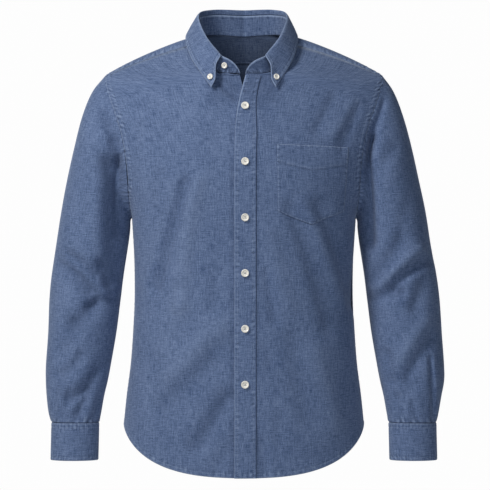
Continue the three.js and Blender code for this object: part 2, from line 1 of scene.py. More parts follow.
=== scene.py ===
"""A long-sleeved button-down shirt in blue chambray, filled out as if worn.

The front faces -Y and the wearer's left is +X. The origin is the middle of the neck, level with the
shoulder line beside the collar. The shirt's surfaces are worked out in millimetres and made in metres.
"""

import math

import bmesh
import bpy
import numpy as np
from mathutils import Matrix, Vector
from mathutils.bvhtree import BVHTree


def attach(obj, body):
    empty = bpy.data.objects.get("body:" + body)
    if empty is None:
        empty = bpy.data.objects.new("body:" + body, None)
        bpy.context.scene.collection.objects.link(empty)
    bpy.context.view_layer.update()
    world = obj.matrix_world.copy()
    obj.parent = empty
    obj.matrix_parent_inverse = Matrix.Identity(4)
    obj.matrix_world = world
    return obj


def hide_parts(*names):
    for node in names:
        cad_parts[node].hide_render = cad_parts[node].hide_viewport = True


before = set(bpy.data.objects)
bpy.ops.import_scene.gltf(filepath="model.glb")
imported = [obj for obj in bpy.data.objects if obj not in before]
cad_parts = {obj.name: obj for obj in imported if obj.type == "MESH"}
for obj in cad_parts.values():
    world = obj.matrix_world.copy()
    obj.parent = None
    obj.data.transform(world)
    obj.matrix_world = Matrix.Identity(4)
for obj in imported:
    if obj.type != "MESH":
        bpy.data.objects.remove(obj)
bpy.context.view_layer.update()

MM = 0.001

# ---- the pattern's sizes, in millimetres ---------------------------------------------------
CLOTH = 1.0                # one layer with its seam allowances
YOKE_CLOTH = 1.3           # pieces of more than one layer
STAND_CLOTH = 1.3
LEAF_CLOTH = 1.5
CUFF_CLOTH = 1.4
LAID_LIFT = 1.7            # outer face of a laid piece above its panel
LAP_DEPTH = 2.6            # how far the right front lies under the left one
PLACKET_WIDTH = 37.0
PLACKET_TOP_WIDTH = 27.0   # where the open front rolls back below the collar
STAND_SHARE = 0.78         # the collar stand's share of the height up to the roll line
NECK_AXIS_Y = -12.0
SIDES = ((1, "left"), (-1, "right"))

BUTTON_RADIUS = 6.6
SMALL_BUTTON_RADIUS = 5.2
BUTTON_HEIGHT = 2.7
BUTTON_SHANK = 0.8         # thread between the cloth and the button
BUTTON_X = 2.0
BUTTON_TOP_Z = -117.0
BUTTON_SPACING = 92.7
BUTTON_COUNT = 6

CUFF_TOP_Z = -648.9
CUFF_HEIGHT = 63.4
CUFF_OPENING = 1.0         # ring angle of the cuff's opening, towards the back
CUFF_OVERLAP = 0.62
SLIT_WIDTH = 22.0          # the sleeve's placket above the cuff
SLIT_TOP = 9.6             # sleeve level of that placket's point

UNDERARM = 6               # body level where the side seam ends and the armhole starts
YOKE_BACK = 12             # body level of the yoke's back seam
NECK_FRONT = 12            # body level of the front corner of the neck
NECK_BACK = 13             # body level of the back neck point
SHOULDER = 15              # body level of the shoulder line
YOKE_FRONT = 14.7          # body level of the yoke's front seam
SHOULDER_STATION = SHOULDER - NECK_BACK
LEAF_END = 4               # collar stations where the leaf and the stand end
STAND_END = 5
SLEEVE_END = 14            # last ring of the sleeve
ARM_AXIS_TOP = 215.0       # how far out the arm's middle lies, at the shoulder and at the cuff
ARM_AXIS_CUFF = 285.0
ARM_TOP_Z = -60.0
ARM_LENGTH = 590.0
ARM_GIRTH = 60.0           # cloth round the arm for each radian

FINE = 1.3                 # spacing of the mesh along a seam
COARSE = 3.1               # and away from it
SEAM_BAND = 12.0           # width of the finely meshed strip beside a seam
STITCH_STEP = 3.4
STITCH_LENGTH = 2.5
THREAD = 0.62

STITCH_WEAR = 0.45         # how much paler a row of stitches is, as a share of the edge's wear
PUCKER_SHADING = 0.9          # painted highlight on the ridges of its puckers, and painted shade in their hollows
FOLD_SHADING = 0.04           # painted highlight for each millimetre of ridge, and painted shade for each of trough
SEAM_TUCK = 1.6            # how deep a seam allowance lies under the piece it's sewn to
SLEEVE_TUCK = 0.12         # the allowance of the sleeve's head, in sleeve levels
FOLD_GAIN = 1.25           # how much deeper every crease is than its row says

# rows of stitches, by their distance from the piece's edge
ARMHOLE_ROWS = (1.8, 9.5)
SIDE_ROWS = (1.6, 7.0)     # only the second is sewn through to the outside
HEM_ROW = 6.5
YOKE_ROWS = (1.8, 5.5)
CUFF_TOP_ROWS = (1.8, 7.6)
CUFF_FOOT_ROW = 5.2
CUFF_END_ROW = 4.0
SLIT_ROW = 1.8
STAND_FOOT_ROWS = (1.8, 4.2)
STAND_TOP_ROW = 2.2
LEAF_ROW = 5.5
PLACKET_ROW = 5.4
POCKET_ROW = 2.2

# how much deeper the cloth's colour is in places that lie in shade
COLLAR_SHADE = 0.42
PLACKET_SHADE = 0.6
UNDER_LEAF_SHADE = 0.75


def table(header, rows):
    """One dictionary for each row, with the header's names."""
    return [dict(zip(header.split(), row)) for row in rows]


FRONT = table("over under y z sideX sideY sideZ bend turn", [
    (-16, -21, -122, -736, 204, 4, -653, 0.86, 90),
    (-16, -21, -121, -668, 199, 4, -604, 0.86, 90),
    (-16, -21, -118, -598, 192, 4, -549, 0.86, 90),
    (-16, -21, -115, -526, 187.8, 4, -492, 0.86, 90),
    (-16, -21, -113, -452, 185.3, 4, -433, 0.86, 90),
    (-16, -21, -114, -378, 186.2, 4, -368, 0.86, 90),
    (-16, -21, -118, -306, 190, 4, -302, 0.86, 90),
    (-16, -21, -120, -264, 193.5, -22, -278, 0.86, 80),
    (-16, -21, -120, -224, 196, -44, -244, 0.88, 70),
    (-15.5, -19, -116, -184, 199, -53, -206, 0.92, 66),
    (-14, -14, -108, -146, 205, -52, -170, 1, 66),
    (-8, -4, -97, -106, 214.5, -45, -136, 1.12, 70),
    (3, 7, -82, -62, 226, -33, -104, 1.3, 76),
    (43, 42, -76.5, -59, 233, -18, -81, 1.48, 82),
    (72, 72, -46, -36, 235.6, -5, -67, 1.64, 87),
    (84, 84, 2, 6, 236.3, 7, -61, 1.75, 90),
])

BACK = table("x y z sideX sideY sideZ bend turn", [
    (0, 119, -738, 204, 4, -653, 0.86, 90),
    (0, 117, -670, 199, 4, -604, 0.86, 90),
    (0, 112, -600, 192, 4, -549, 0.86, 90),
    (0, 104, -528, 187.8, 4, -492, 0.86, 90),
    (0, 97, -452, 185.3, 4, -433, 0.86, 90),
    (0, 97, -378, 186.2, 4, -368, 0.86, 90),
    (0, 103, -306, 190, 4, -302, 0.86, 90),
    (0, 108, -264, 193.5, 34, -278, 0.86, 77),
    (0, 111, -224, 196.5, 55, -244, 0.88, 65),
    (0, 111, -182, 200.5, 64, -206, 0.92, 60),
    (0, 107, -140, 207.5, 66, -170, 1, 60),
    (0, 98, -92, 217, 60, -134, 1.14, 66),
    (0, 83, -36, 229, 43, -93, 1.34, 76),
    (0, 64, 9.5, 234, 30, -76, 1.5, 82),
    (55, 50, 12, 236, 17, -66, 1.64, 87),
    (84, 2, 6, 236.3, 7, -61, 1.75, 90),
])

SLEEVE = table("rightOutX leftOutX outZ inX inZ middleY depth", [
    (236.3, 236.3, -61, 190, -302, 6, 60),
    (258, 255, -88, 192, -307, 6, 63),
    (275, 271, -129, 193, -312, 7, 65),
    (289, 286, -184, 193.2, -317, 8, 65),
    (301, 298, -238, 193.6, -322, 9, 64),
    (311, 309.5, -292, 194.4, -330, 10, 63),
    (319.5, 318, -347, 197, -349, 11, 62),
    (327.3, 327.8, -398, 204.6, -398, 12, 61),
    (331.3, 333.4, -442, 210, -442, 11, 60),
    (333, 336.8, -496, 216.8, -496, 7, 57),
    (336.4, 340.2, -551, 226, -551, 0, 52),
    (336.4, 340.2, -578, 231, -578, -4, 49),
    (334.7, 335.1, -605, 237.2, -605, -8, 44),
    (331.3, 330, -632, 241.8, -632, -12, 38),
    (326.4, 326.4, -648.5, 245, -648.5, -14, 33.5),
])

COLLAR = table("rightFoldX leftFoldX foldY foldZ rightEdgeX leftEdgeX edgeY edgeZ", [
    (0, 0, 57, 55, 0, 0, 76, 4),
    (54, 51, 40, 54.5, 66, 62, 61, 8.5),
    (77, 72.5, 3, 43, 98.5, 91, 8, 9.5),
    (64, 61, -51, 4, 90, 85, -52, -32),
    (38, 35.5, -82, -31, 55, 54, -93, -85),
])

POCKET_FOOT = table("share z", [
    (0, -292),
    (0.13, -299),
    (0.31, -307),
    (0.5, -315),
    (0.69, -307),
    (0.87, -299),
    (1, -292),
])
HEADER = table("share down", [(0, 0.255), (0.5, 0.305), (1, 0.26)])
POCKET_WIDTH = 118.0
POCKET_HEIGHT = 128.0
POCKET_TOP_X = (54.0, 175.5)
POCKET_TOP_Z = (-180.5, -185.0)
POCKET_FOOT_X = (56.0, 168.0)

# Creases lie along a straight line on one face. "bow" bends the line to its left, "lean" makes the
# left flank steeper (above 0) or the right one, and both are 0 where a row leaves them out. A depth
# below 0 is a ridge.
CREASE = "fromX fromZ toX toZ width depth lean bow"
CREASES = {
    "rightFront": table(CREASE, [
        # two drag folds from the chest, then those over the hip
        (-95, -245, -148, -418, 12, 5.2, 0.2),
        (-110, -240, -164, -415, 11, -2.8),
        (-79, -246, -106, -450, 14, -4, 0, -4),
        (-106, -450, -136, -525, 16, -2),
        (-141, -228, -153, -285, 9, 1.8),
        (-38, -482, -116, -566, 20, -4.2),
        (-58, -546, -140, -618, 19, 4.2),
        (-27, -604, -80, -684, 14, 6, 0.2),
        (-14, -672, -46, -720, 11, 1.8),
        (-48, -400, -54, -520, 12, 1.2),
        (-48, -71, -12, -103, 4.6, 3.6, 0.3),
        (-43, -65, -10, -87, 4.2, 2.6, 0.3),
        (-176, -150, -188, -240, 9, 1.6, 0, -3),
    ]),
    "leftFront": table(CREASE, [
        # the same from the other side, and short ones beside the armhole and the collar
        (80, -290, 142, -482, 17, 3.6, -0.2, 4),
        (98, -280, 166, -446, 13, -2, 0, 3),
        (126, -284, 183, -448, 14, 3.8, -0.2, 4),
        (38, -396, 51, -474, 8, 1.8),
        (42, -330, 76, -450, 14, -1.8),
        (122, -530, 152, -650, 18, -2.4),
        (84, -500, 104, -640, 16, 1.8, 0, -4),
        (29, -676, 35, -730, 9, 2.2),
        (60, -630, 58, -676, 9, 1.2),
        (34, -520, 44, -548, 9, 1.6, 0, 4),
        (189, -122, 166, -186, 10, 2, 0.2),
        (182, -110, 148, -168, 10, -1.8),
        (152, -98, 122, -156, 9, 1.8),
        (30, -120, 60, -172, 12, 1.0),
    ]),
    "back": table(CREASE, [
        # like those of the fronts
        (-110, -200, -60, -345, 13, 3.6, 0.2),
        (106, -196, 66, -360, 13, 3.6, -0.2),
        (-92, -210, -40, -350, 12, -2),
        (-178, -220, -130, -300, 10, 2.8, 0.3, -5),
        (176, -228, 122, -310, 10, 2.8, 0.3, 5),
        (-60, -400, -150, -560, 16, 3.4),
        (70, -420, 150, -590, 16, 3.4),
        (-30, -430, -112, -580, 14, -2.2, 0, 6),
        (20, -400, 60, -540, 18, 2, 0, -6),
        (-120, -600, -60, -690, 15, 2.6),
        (110, -610, 40, -690, 15, 2.2),
    ]),
    "rightSleeveFront": table(CREASE, [
        # head and upper arm
        (-224, -222, -208, -405, 21, 10),
        (-204, -206, -200, -330, 12, 11),
        (-248, -250, -244, -360, 13, -2),
        (-237.7, -123.3, -207.6, -181, 8, 4.6, 0.2, -2),
        (-222, -176, -196, -229, 11, 4.5, -0.3),
        (-231.7, -206, -198, -272.7, 14, 5, 0, 3),
        (-262, -190, -276, -300, 18, 1.6, 0, 4),
        (-310, -363.5, -276, -373.8, 8, 1.6),
        (-297, -365, -250, -399, 10, 4),
        # elbow and forearm
        (-312, -380, -246, -436, 12, 8, 0.2, 3),
        (-238, -382, -217, -433, 12, 5.6),
        (-257.4, -451.7, -208, -441, 11, 4.5, 0.4, 2),
        (-258, -438, -214, -428, 6, -2.4, 0, 2),
        (-257.6, -454, -289, -483, 14, 4.5, 0, 3),
        (-289, -483, -310, -525, 15, 4),
        (-276, -536, -310, -568, 10, 4.5, 0, 3),
        (-242.6, -559, -293, -610, 10, 6, 0.3, 6),
        (-257.8, -593, -280, -639, 9, 5, 0.2),
        (-242.6, -610, -252.7, -644, 6, 3.2),
        (-318, -584, -320, -630, 7, 2),
        (-297, -596, -306, -640, 6, 2.4),
    ]),
    "leftSleeveFront": table(CREASE, [
        # head and upper arm
        (205, -140, 208, -345, 12, 14),
        (235.5, -106.5, 216, -166.7, 8, 5.4, 0.2),
        (216, -166.7, 193.4, -219.7, 8, 5.4, 0.2),
        (216, -133, 197, -200, 6, -2.6),
        (254.8, -181, 226, -224.5, 12, 2.6),
        (276, -280, 264, -326, 12, 1.8),
        (284, -196, 300, -300, 16, 1.4, 0, -4),
        # elbow and forearm
        (265.3, -340, 225, -399, 13, 5),
        (296.9, -354.8, 221, -426.5, 9, -5, 0, -3),
        (315.8, -375.9, 248.4, -422.2, 9, 6.6, 0.3, -4),
        (210.5, -441, 263, -430.7, 9, 7, -0.3, 2),
        (303, -416, 288.5, -453.8, 13, 5),
        (309.5, -477, 248.4, -563.4, 12, -3.4, 0, -3),
        (320, -508.6, 273.7, -576, 12, 6, 0, -4),
        (240, -533.9, 248.4, -576, 10, 4.5),
        (294, -580, 264, -604, 8, 2.2),
        (317, -538, 322, -643.5, 4, 4.2, 0.4),
        (327, -563, 326.4, -635, 6, -1.2),
        (258, -606, 262, -646, 7, 2.6),
        (284, -612, 290, -646, 6, 2),
    ]),
    "rightSleeveBack": table(CREASE, [
        (-210, -210, -250, -300, 10, 3.4, 0, 4),
        (-296, -376, -222, -410, 10, 5, 0.3, 4),
        (-300, -430, -226, -452, 9, 4.4, 0.3, 3),
        (-312, -462, -246, -480, 12, 2.6, 0, 3),
        (-304, -500, -250, -560, 12, 3.6, 0, 4),
        (-322, -590, -318, -646, 5, 2.8),
    ]),
    "leftSleeveBack": table(CREASE, [
        (210, -206, 252, -296, 10, 3.4, 0, -4),
        (300, -370, 224, -406, 10, 5, 0.3, -4),
        (304, -432, 230, -458, 9, 4.4, 0.3, -3),
        (312, -470, 248, -490, 12, 2.6, 0, -3),
        (306, -496, 254, -566, 12, 3.6, 0, -4),
        (324, -590, 320, -646, 5, 2.8),
    ]),
}


# ---- small tools ---------------------------------------------------------------------------
def hand(side):
    return "left" if side > 0 else "right"


def mix(a, b, t):
    return a + (b - a) * t


def ease(start, end, value):
    t = np.clip((value - start) / (end - start), 0, 1)
    return t * t * (3 - 2 * t)


def curve(values, place, corner=0):
    """Reads rows of values between them, on a smooth curve that may turn sharply at a row."""
    values = np.asarray(values, float)
    last = len(values) - 1
    steps = np.diff(values, axis=0)
    slopes = np.gradient(values, axis=0)
    leaving, arriving = slopes[:-1].copy(), slopes[1:].copy()
    for row in {0, corner, last}:
        if row < last:
            leaving[row] = steps[row]
        if row > 0:
            arriving[row - 1] = steps[row - 1]
    place = np.asarray(place, float)
    i = np.clip(np.floor(place).astype(int), 0, last - 1)
    t = (place - i).reshape(place.shape + (1,) * (values.ndim - 1))
    t2, t3 = t * t, t * t * t
    return (values[i] * (2 * t3 - 3 * t2 + 1) + leaving[i] * (t3 - 2 * t2 + t)
            + values[i + 1] * (3 * t2 - 2 * t3) + arriving[i] * (t3 - t2))


def along(rows, name, place, corner=0):
    return curve([row[name] for row in rows], place, corner)


def point(x, y, z):
    return np.stack(np.broadcast_arrays(x, y, z), axis=-1).astype(float)


def unit(vectors):
    return vectors / np.maximum(np.linalg.norm(vectors, axis=-1, keepdims=True), 1e-9)


def spaced(length, coarse=COARSE, start=0.0, end=0.0):
    """Distances along a length: finely spaced within "start" and "end" of its ends."""
    marks = [np.arange(0, start, FINE), np.linspace(start, length - end,
             max(int(round((length - start - end) / coarse)), 1) + 1), length - np.arange(0, end, FINE)]
    return np.unique(np.round(np.concatenate(marks), 4))


def places(surface, low, high, coarse=COARSE, start=0.0, end=0.0):
    """Parameters from low to high that lie evenly along surface(parameter)."""
    samples = np.linspace(low, high, 400)
    run = np.linalg.norm(np.diff(surface(samples), axis=0), axis=-1).cumsum()
    run = np.concatenate([[0], run])
    return np.interp(spaced(run[-1], coarse, start, end), run, samples)


# ---- the body's surface --------------------------------------------------------------------
def rise(u, level):
    """Height along a level: the tail's curve at the hem, the shoulder's slope at the top."""
    tail = u ** 2.4 * (1.45 - 0.45 * u ** 4)
    slope = 1 - np.maximum(np.cos(u * np.pi / 2), 0) ** 1.75
    return mix(tail, slope, ease(UNDERARM - 1, UNDERARM + 3, level))


def body_point(rows, side, u, level):
    """A point of the body at u from the centre edge (0) to the side or armhole (1)."""
    u, level = np.broadcast_arrays(np.asarray(u, float), np.asarray(level, float))
    edge = "x" if rows is BACK else ("over" if side > 0 else "under")
    corner = NECK_BACK if rows is BACK else NECK_FRONT
    centre_x, centre_y, centre_z = (along(rows, name, level, corner) for name in (edge, "y", "z"))
    side_x, side_y, side_z = (along(rows, name, level, UNDERARM) for name in ("sideX", "sideY", "sideZ"))
    bend = along(rows, "bend", level)
    turn = np.radians(np.clip(along(rows, "turn", level), 0, 90))
    cosine = lambda angle: np.maximum(np.cos(angle), 0) ** bend
    out = (np.sin(u * turn) / np.sin(turn)) ** bend
    depth = (cosine(u * turn) - cosine(turn)) / (1 - cosine(turn))
    return point(side * mix(centre_x, side_x, out), mix(side_y, centre_y, depth),
                 mix(centre_z, side_z, rise(u, level)))


def front_point(side, u, level):
    return body_point(FRONT, side, u, level)


def back_point(side, u, level):
    return body_point(BACK, side, u, level)


def neck_point(side, station):
    """The neck seam, from the back neck (0) over the shoulder line to the front corner."""
    station = np.asarray(station, float)
    behind = back_point(side, 0, np.minimum(NECK_BACK + station, SHOULDER))
    before = front_point(side, 0, SHOULDER - np.clip(station - SHOULDER_STATION, 0, None))
    return np.where((station <= SHOULDER_STATION)[..., None], behind, before)


def place_on_front(x, z):
    """The place (u, level) of the left front that lies at (x, z), found by Newton's steps."""
    x, z = np.broadcast_arrays(np.asarray(x, float), np.asarray(z, float))
    small = 1e-3
    u, level = np.full(x.shape, 0.4), np.full(x.shape, 8.0)
    for _ in range(30):
        here = front_point(1, u, level)
        by_u = (front_point(1, u + small, level) - here) / small
        by_level = (front_point(1, u, level + small) - here) / small
        determinant = by_u[..., 0] * by_level[..., 2] - by_level[..., 0] * by_u[..., 2]
        miss_x, miss_z = x - here[..., 0], z - here[..., 2]
        step_u = (miss_x * by_level[..., 2] - miss_z * by_level[..., 0]) / determinant
        step_level = (by_u[..., 0] * miss_z - by_u[..., 2] * miss_x) / determinant
        u = np.clip(u + np.clip(step_u, -0.1, 0.1), 0, 0.98)
        level = np.clip(level + np.clip(step_level, -1, 1), 0, NECK_FRONT)
    return u, level


def outward(surface, first, second, handed=1):
    """The unit normal of a surface given by two parameters."""
    small = 1e-3
    here = surface(first, second)
    by_first = surface(first + small, second) - here
    by_second = surface(first, second + small) - here
    return unit(np.cross(by_first, by_second)) * handed


def crease_lift(face, points):
    """How far the creases of a face raise or sink its points."""
    x, z = points[..., 0], points[..., 2]
    lift = np.zeros(x.shape)
    for crease in CREASES[face]:
        dx, dz = crease["toX"] - crease["fromX"], crease["toZ"] - crease["fromZ"]
        length = math.hypot(dx, dz)
        share = ((x - crease["fromX"]) * dx + (z - crease["fromZ"]) * dz) / length ** 2
        inside = np.clip(share, 0, 1)
        away = (dx * (z - crease["fromZ"]) - dz * (x - crease["fromX"])) / length
        away = away - crease.get("bow", 0) * 4 * inside * (1 - inside)
        past = (share - inside) * length
        width = crease["width"] * (1 - crease.get("lean", 0) * np.tanh(away / crease["width"] * 2))
        lift -= FOLD_GAIN * crease["depth"] * np.exp(-(away / width) ** 2 - (past / crease["width"]) ** 2)
    return lift


# ---- sheets of cloth -----------------------------------------------------------------------
class Sheet:
    """A grid of points on the cloth, rows x columns, with the distances along it to each edge.

    "lift" raises the points along the surface's normal. The other value paints the colour: how faded the
    cloth is, with painted highlight on ridges and on edges that catch the light, or below 0 how dark it is,
    from dark seams and from painted shade. "turned" tells that rows and columns run the other way round."""

    def __init__(self, points, turned=False):
        self.points = points
        self.turned = turned
        across = np.linalg.norm(np.diff(points, axis=1), axis=2).cumsum(axis=1)
        down = np.linalg.norm(np.diff(points, axis=0), axis=2).cumsum(axis=0)
        self.first_column = np.pad(across, ((0, 0), (1, 0)))
        self.last_column = self.first_column[:, -1:] - self.first_column
        self.first_row = np.pad(down, ((1, 0), (0, 0)))
        self.last_row = self.first_row[-1:] - self.first_row
        self.weft, self.warp = self.first_column, self.first_row
        self.lift = np.zeros(points.shape[:2])
        self.wear_and_shade = np.zeros(points.shape[:2])

    def hang_grain(self):
        """Lets the warp hang straight down a panel, whatever line its edges are cut on."""
        level = np.linalg.norm(np.diff(self.points[..., :2], axis=1), axis=2).cumsum(axis=1)
        self.weft = np.pad(level, ((0, 0), (1, 0)))
        self.warp = -self.points[..., 2]

    def distance(self, edge):
        """Distances from an edge, and along it."""
        run = self.first_row if "column" in edge else self.first_column
        return getattr(self, edge), run

    def line(self, edge, distance, keep=None):
        """Points a little above the cloth, at a distance inside an edge."""
        away, _ = self.distance(edge)
        by_column, by_row = np.gradient(self.points, axis=1), np.gradient(self.points, axis=0)
        normals = unit(np.cross(by_column, by_row)) * (-1 if self.turned else 1)
        points = self.points + normals * (self.lift[..., None] + 0.4)
        if "row" in edge:
            away, points = away.T, points.transpose(1, 0, 2)
        if keep is not None:
            away, points = away[keep], points[keep]
        if "last" in edge:
            away, points = away[:, ::-1], points[:, ::-1]
        return np.array([[np.interp(distance, steps, row[:, axis]) for axis in range(3)]
                         for steps, row in zip(away, points)])

    def seam(self, edge, seed, lines=(), groove=0.6, welt=0.0, pucker=0.35, reach=4.0, period=7.5,
             wear_and_shade=0.5, shown=1.0):
        """A sewn edge: the seam sinks, its allowances raise a welt, and the stitching puckers it."""
        away, run = self.distance(edge)
        width = max(lines) if lines else 0.0
        lift = -groove * np.exp(-(away / 1.1) ** 2)
        lift += welt * ease(width + 1.6, width - 0.4, away) * ease(0, 1.4, away)
        sway = 1.7 * np.sin(run / 23.0 + seed) + 0.9 * np.sin(run / 9.1 + 2.3 * seed)
        beat = 0.55 + 0.45 * np.sin(run / 37.0 + 1.9 * seed) * np.sin(run / 13.7 + seed)
        waves = np.sin(2 * np.pi * run / period + sway)
        slant = np.sin(2 * np.pi * (run + 0.8 * away) / (1.7 * period) + sway)
        wrinkles = beat * (0.7 * waves + 0.5 * slant)
        fade_and_shade = wear_and_shade * np.exp(-(away / 1.8) ** 2)
        for place in lines or (0.0,):
            near = np.exp(-((away - place) / reach) ** 2)
            lift += pucker * near * wrinkles - 0.3 * np.exp(-((away - place) / 0.9) ** 2)
            fade_and_shade += STITCH_WEAR * wear_and_shade * (np.exp(-((away - place) / 1.0) ** 2)
                                          - 0.8 * np.exp(-((away - place - 2.2) / 1.3) ** 2))
            # painted highlight on the puckers' ridges and painted shade in their hollows
            fade_and_shade += PUCKER_SHADING * near * wrinkles
        self.lift += shown * lift
        self.wear_and_shade += shown * fade_and_shade

    def crease(self, lift):
        """Raises ridges and sinks troughs, with painted highlight on a ridge and painted shade in a trough.
        """
        self.lift += lift
        self.wear_and_shade += FOLD_SHADING * np.clip(lift, -12, 4)

    def rolled(self, edge, drop=0.7, reach=1.5, shade=0.0):
        """A folded edge that rounds down to what it lies on, with a painted shadow line beside it."""
        away, _ = self.distance(edge)
        self.lift -= drop * (1 - np.clip(away / reach, 0, 1)) ** 2
        self.wear_and_shade -= shade * np.exp(-(away / 0.9) ** 2)


def make_object(name, form, materials):
    mesh = bpy.data.meshes.new(name)
    form.to_mesh(mesh)
    form.free()
    made = bpy.data.objects.new(name, mesh)
    bpy.context.scene.collection.objects.link(made)
    for material in materials:
        mesh.materials.append(material)
    mesh.shade_smooth()
    return made


def lay_sheet(form, sheet):
    """Adds a sheet's grid to a form, with its texture place in tenths of a metre."""
    rows, columns = sheet.lift.shape
    lift = form.verts.layers.float.get("lift") or form.verts.layers.float.new("lift")
    wear_and_shade = form.verts.layers.float.get("wear_and_shade") or form.verts.layers.float.new("wear_and_shade")
    weave = form.loops.layers.uv.get("weave") or form.loops.layers.uv.new("weave")
    made = bmesh.ops.create_grid(form, x_segments=columns - 1, y_segments=rows - 1, size=0.5)["verts"]
    place = {}
    for vertex in made:
        column = round((vertex.co.x + 0.5) * (columns - 1))
        row = round((vertex.co.y + 0.5) * (rows - 1))
        place[vertex] = (row, column)
    faces = list({face for vertex in made for face in vertex.link_faces})
    for face in faces:
        for loop in face.loops:
            row, column = place[loop.vert]
            loop[weave].uv = (sheet.weft[row, column] / 100, sheet.warp[row, column] / 100)
    for vertex, (row, column) in place.items():
        vertex.co = Vector(sheet.points[row, column]) * MM
        vertex[lift] = sheet.lift[row, column]
        vertex[wear_and_shade] = min(max(sheet.wear_and_shade[row, column], -1), 1)
    if sheet.turned:
        bmesh.ops.reverse_faces(form, faces=faces)


def cut_cloth(name, *sheets, thickness=CLOTH, shaded_inside=False):
    """Joins sheets into one piece of cloth and gives it its thickness, inwards."""
    form = bmesh.new()
    for sheet in sheets:
        lay_sheet(form, sheet)
    bmesh.ops.remove_doubles(form, verts=form.verts, dist=0.02 * MM)
    form.normal_update()
    lift = form.verts.layers.float["lift"]
    for vertex, normal in [(vertex, vertex.normal.copy()) for vertex in form.verts]:
        vertex.co += normal * vertex[lift] * MM
    made = make_object(name, form, [CHAMBRAY, SHADED_INSIDE_CHAMBRAY])
    wall = made.modifiers.new("thickness", "SOLIDIFY")
    # where asked, the inner faces and rims take the darker copy: painted shade inside the shirt
    wall.material_offset = wall.material_offset_rim = int(shaded_inside)
    wall.thickness = thickness * MM
    wall.offset = -1
    return made


def finish_cloth(piece, node):
    """Hangs the piece under the root and hides the solid of model.glb that it stands for."""
    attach(piece, "root")
    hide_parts(node)


# ---- stitching -----------------------------------------------------------------------------
def resample(path, step):
    """Points a step apart on a path, with the path's directions there."""
    run = np.concatenate([[0], np.linalg.norm(np.diff(path, axis=0), axis=1).cumsum()])
    marks = np.arange(step / 2, run[-1], step)
    at = lambda where: np.stack([np.interp(where, run, path[:, axis]) for axis in range(3)], axis=1)
    return at(marks), unit(at(np.minimum(marks + 0.5, run[-1])) - at(np.maximum(marks - 0.5, 0)))


def sew(name, cloth, paths):
    """Rows of stitches that lie on a piece of cloth along some paths."""
    graph = bpy.context.evaluated_depsgraph_get()
    shell = BVHTree.FromObject(cloth, graph)
    form = bmesh.new()
    bmesh.ops.create_icosphere(form, subdivisions=1, radius=0.5)
    stitch = np.array([vertex.co[:] for vertex in form.verts])
    corners = np.array([[vertex.index for vertex in face.verts] for face in form.faces])
    form.free()
    vertices, faces = [], []
    for path in paths:
        for middle, direction in zip(*resample(path, STITCH_STEP)):
            target = Vector(middle) * MM
            found, normal, _, _ = shell.find_nearest(target)
            if found is None:
                continue
            across = Vector(direction).cross(normal).normalized()
            run = normal.cross(across).normalized()
            axes = np.array([run * STITCH_LENGTH, across * THREAD, normal * THREAD * 0.8]) * MM
            seat = np.array(found + normal * 0.12 * THREAD * MM)
            faces.append(corners + len(vertices) * len(stitch))
            vertices.append(stitch @ axes + seat)
    mesh = bpy.data.meshes.new(name)
    mesh.from_pydata(np.concatenate(vertices).tolist(), [], np.concatenate(faces).tolist())
    mesh.materials.append(SEWING_THREAD)
    mesh.shade_smooth()
    made = bpy.data.objects.new(name, mesh)
    bpy.context.scene.collection.objects.link(made)
    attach(made, "root")
    return made


# ---- materials -----------------------------------------------------------------------------
def new_material(name):
    material = bpy.data.materials.new(name)
    material.use_nodes = True
    nodes = material.node_tree.nodes
    return material, nodes, material.node_tree.links, nodes["Principled BSDF"]


def mapped_noise(nodes, links, source, scale, detail=2.0, roughness=0.55):
    """Noise drawn out along the cloth by an uneven scale."""
    mapping = nodes.new("ShaderNodeMapping")
    mapping.inputs["Scale"].default_value = scale
    noise = nodes.new("ShaderNodeTexNoise")
    noise.inputs["Scale"].default_value = 1.0
    noise.inputs["Detail"].default_value = detail
    noise.inputs["Roughness"].default_value = roughness
    links.new(source, mapping.inputs["Vector"])
    links.new(mapping.outputs["Vector"], noise.inputs["Vector"])
    return noise.outputs["Fac"]


def math_node(nodes, links, operation, first, second, clamp=False):
    node = nodes.new("ShaderNodeMath")
    node.operation = operation
    node.use_clamp = clamp
    for socket, value in zip(node.inputs, (first, second)):
        if isinstance(value, (int, float)):
            socket.default_value = value
        else:
            links.new(value, socket)
    return node.outputs[0]


def mix_colours(nodes, links, factor, first, second):
    node = nodes.new("ShaderNodeMix")
    node.data_type = "RGBA"
    for name, value in (("Factor_Float", factor), ("A_Color", first), ("B_Color", second)):
        socket = next(s for s in node.inputs if s.identifier == name)
        if isinstance(value, (int, float)):
            socket.default_value = value
        elif isinstance(value, tuple):
            socket.default_value = (*value, 1)
        else:
            links.new(value, socket)
    return next(s for s in node.outputs if s.identifier == "Result_Color")


WARP_BLUE = (0.047, 0.083, 0.180)
WEFT_PALE = (0.184, 0.252, 0.415)
# the faded colour also serves as painted highlight, and the indigo below as painted shade
FADED_AND_LIT = (0.33, 0.42, 0.60)
DEEP_AND_SHADED_INDIGO = (0.022, 0.038, 0.085)
# darker colours for the inner faces: painted shade inside the shirt
SHADED_INSIDE_BLUE = (0.028, 0.047, 0.100)
SHADED_INSIDE_PALE = (0.105, 0.143, 0.232)


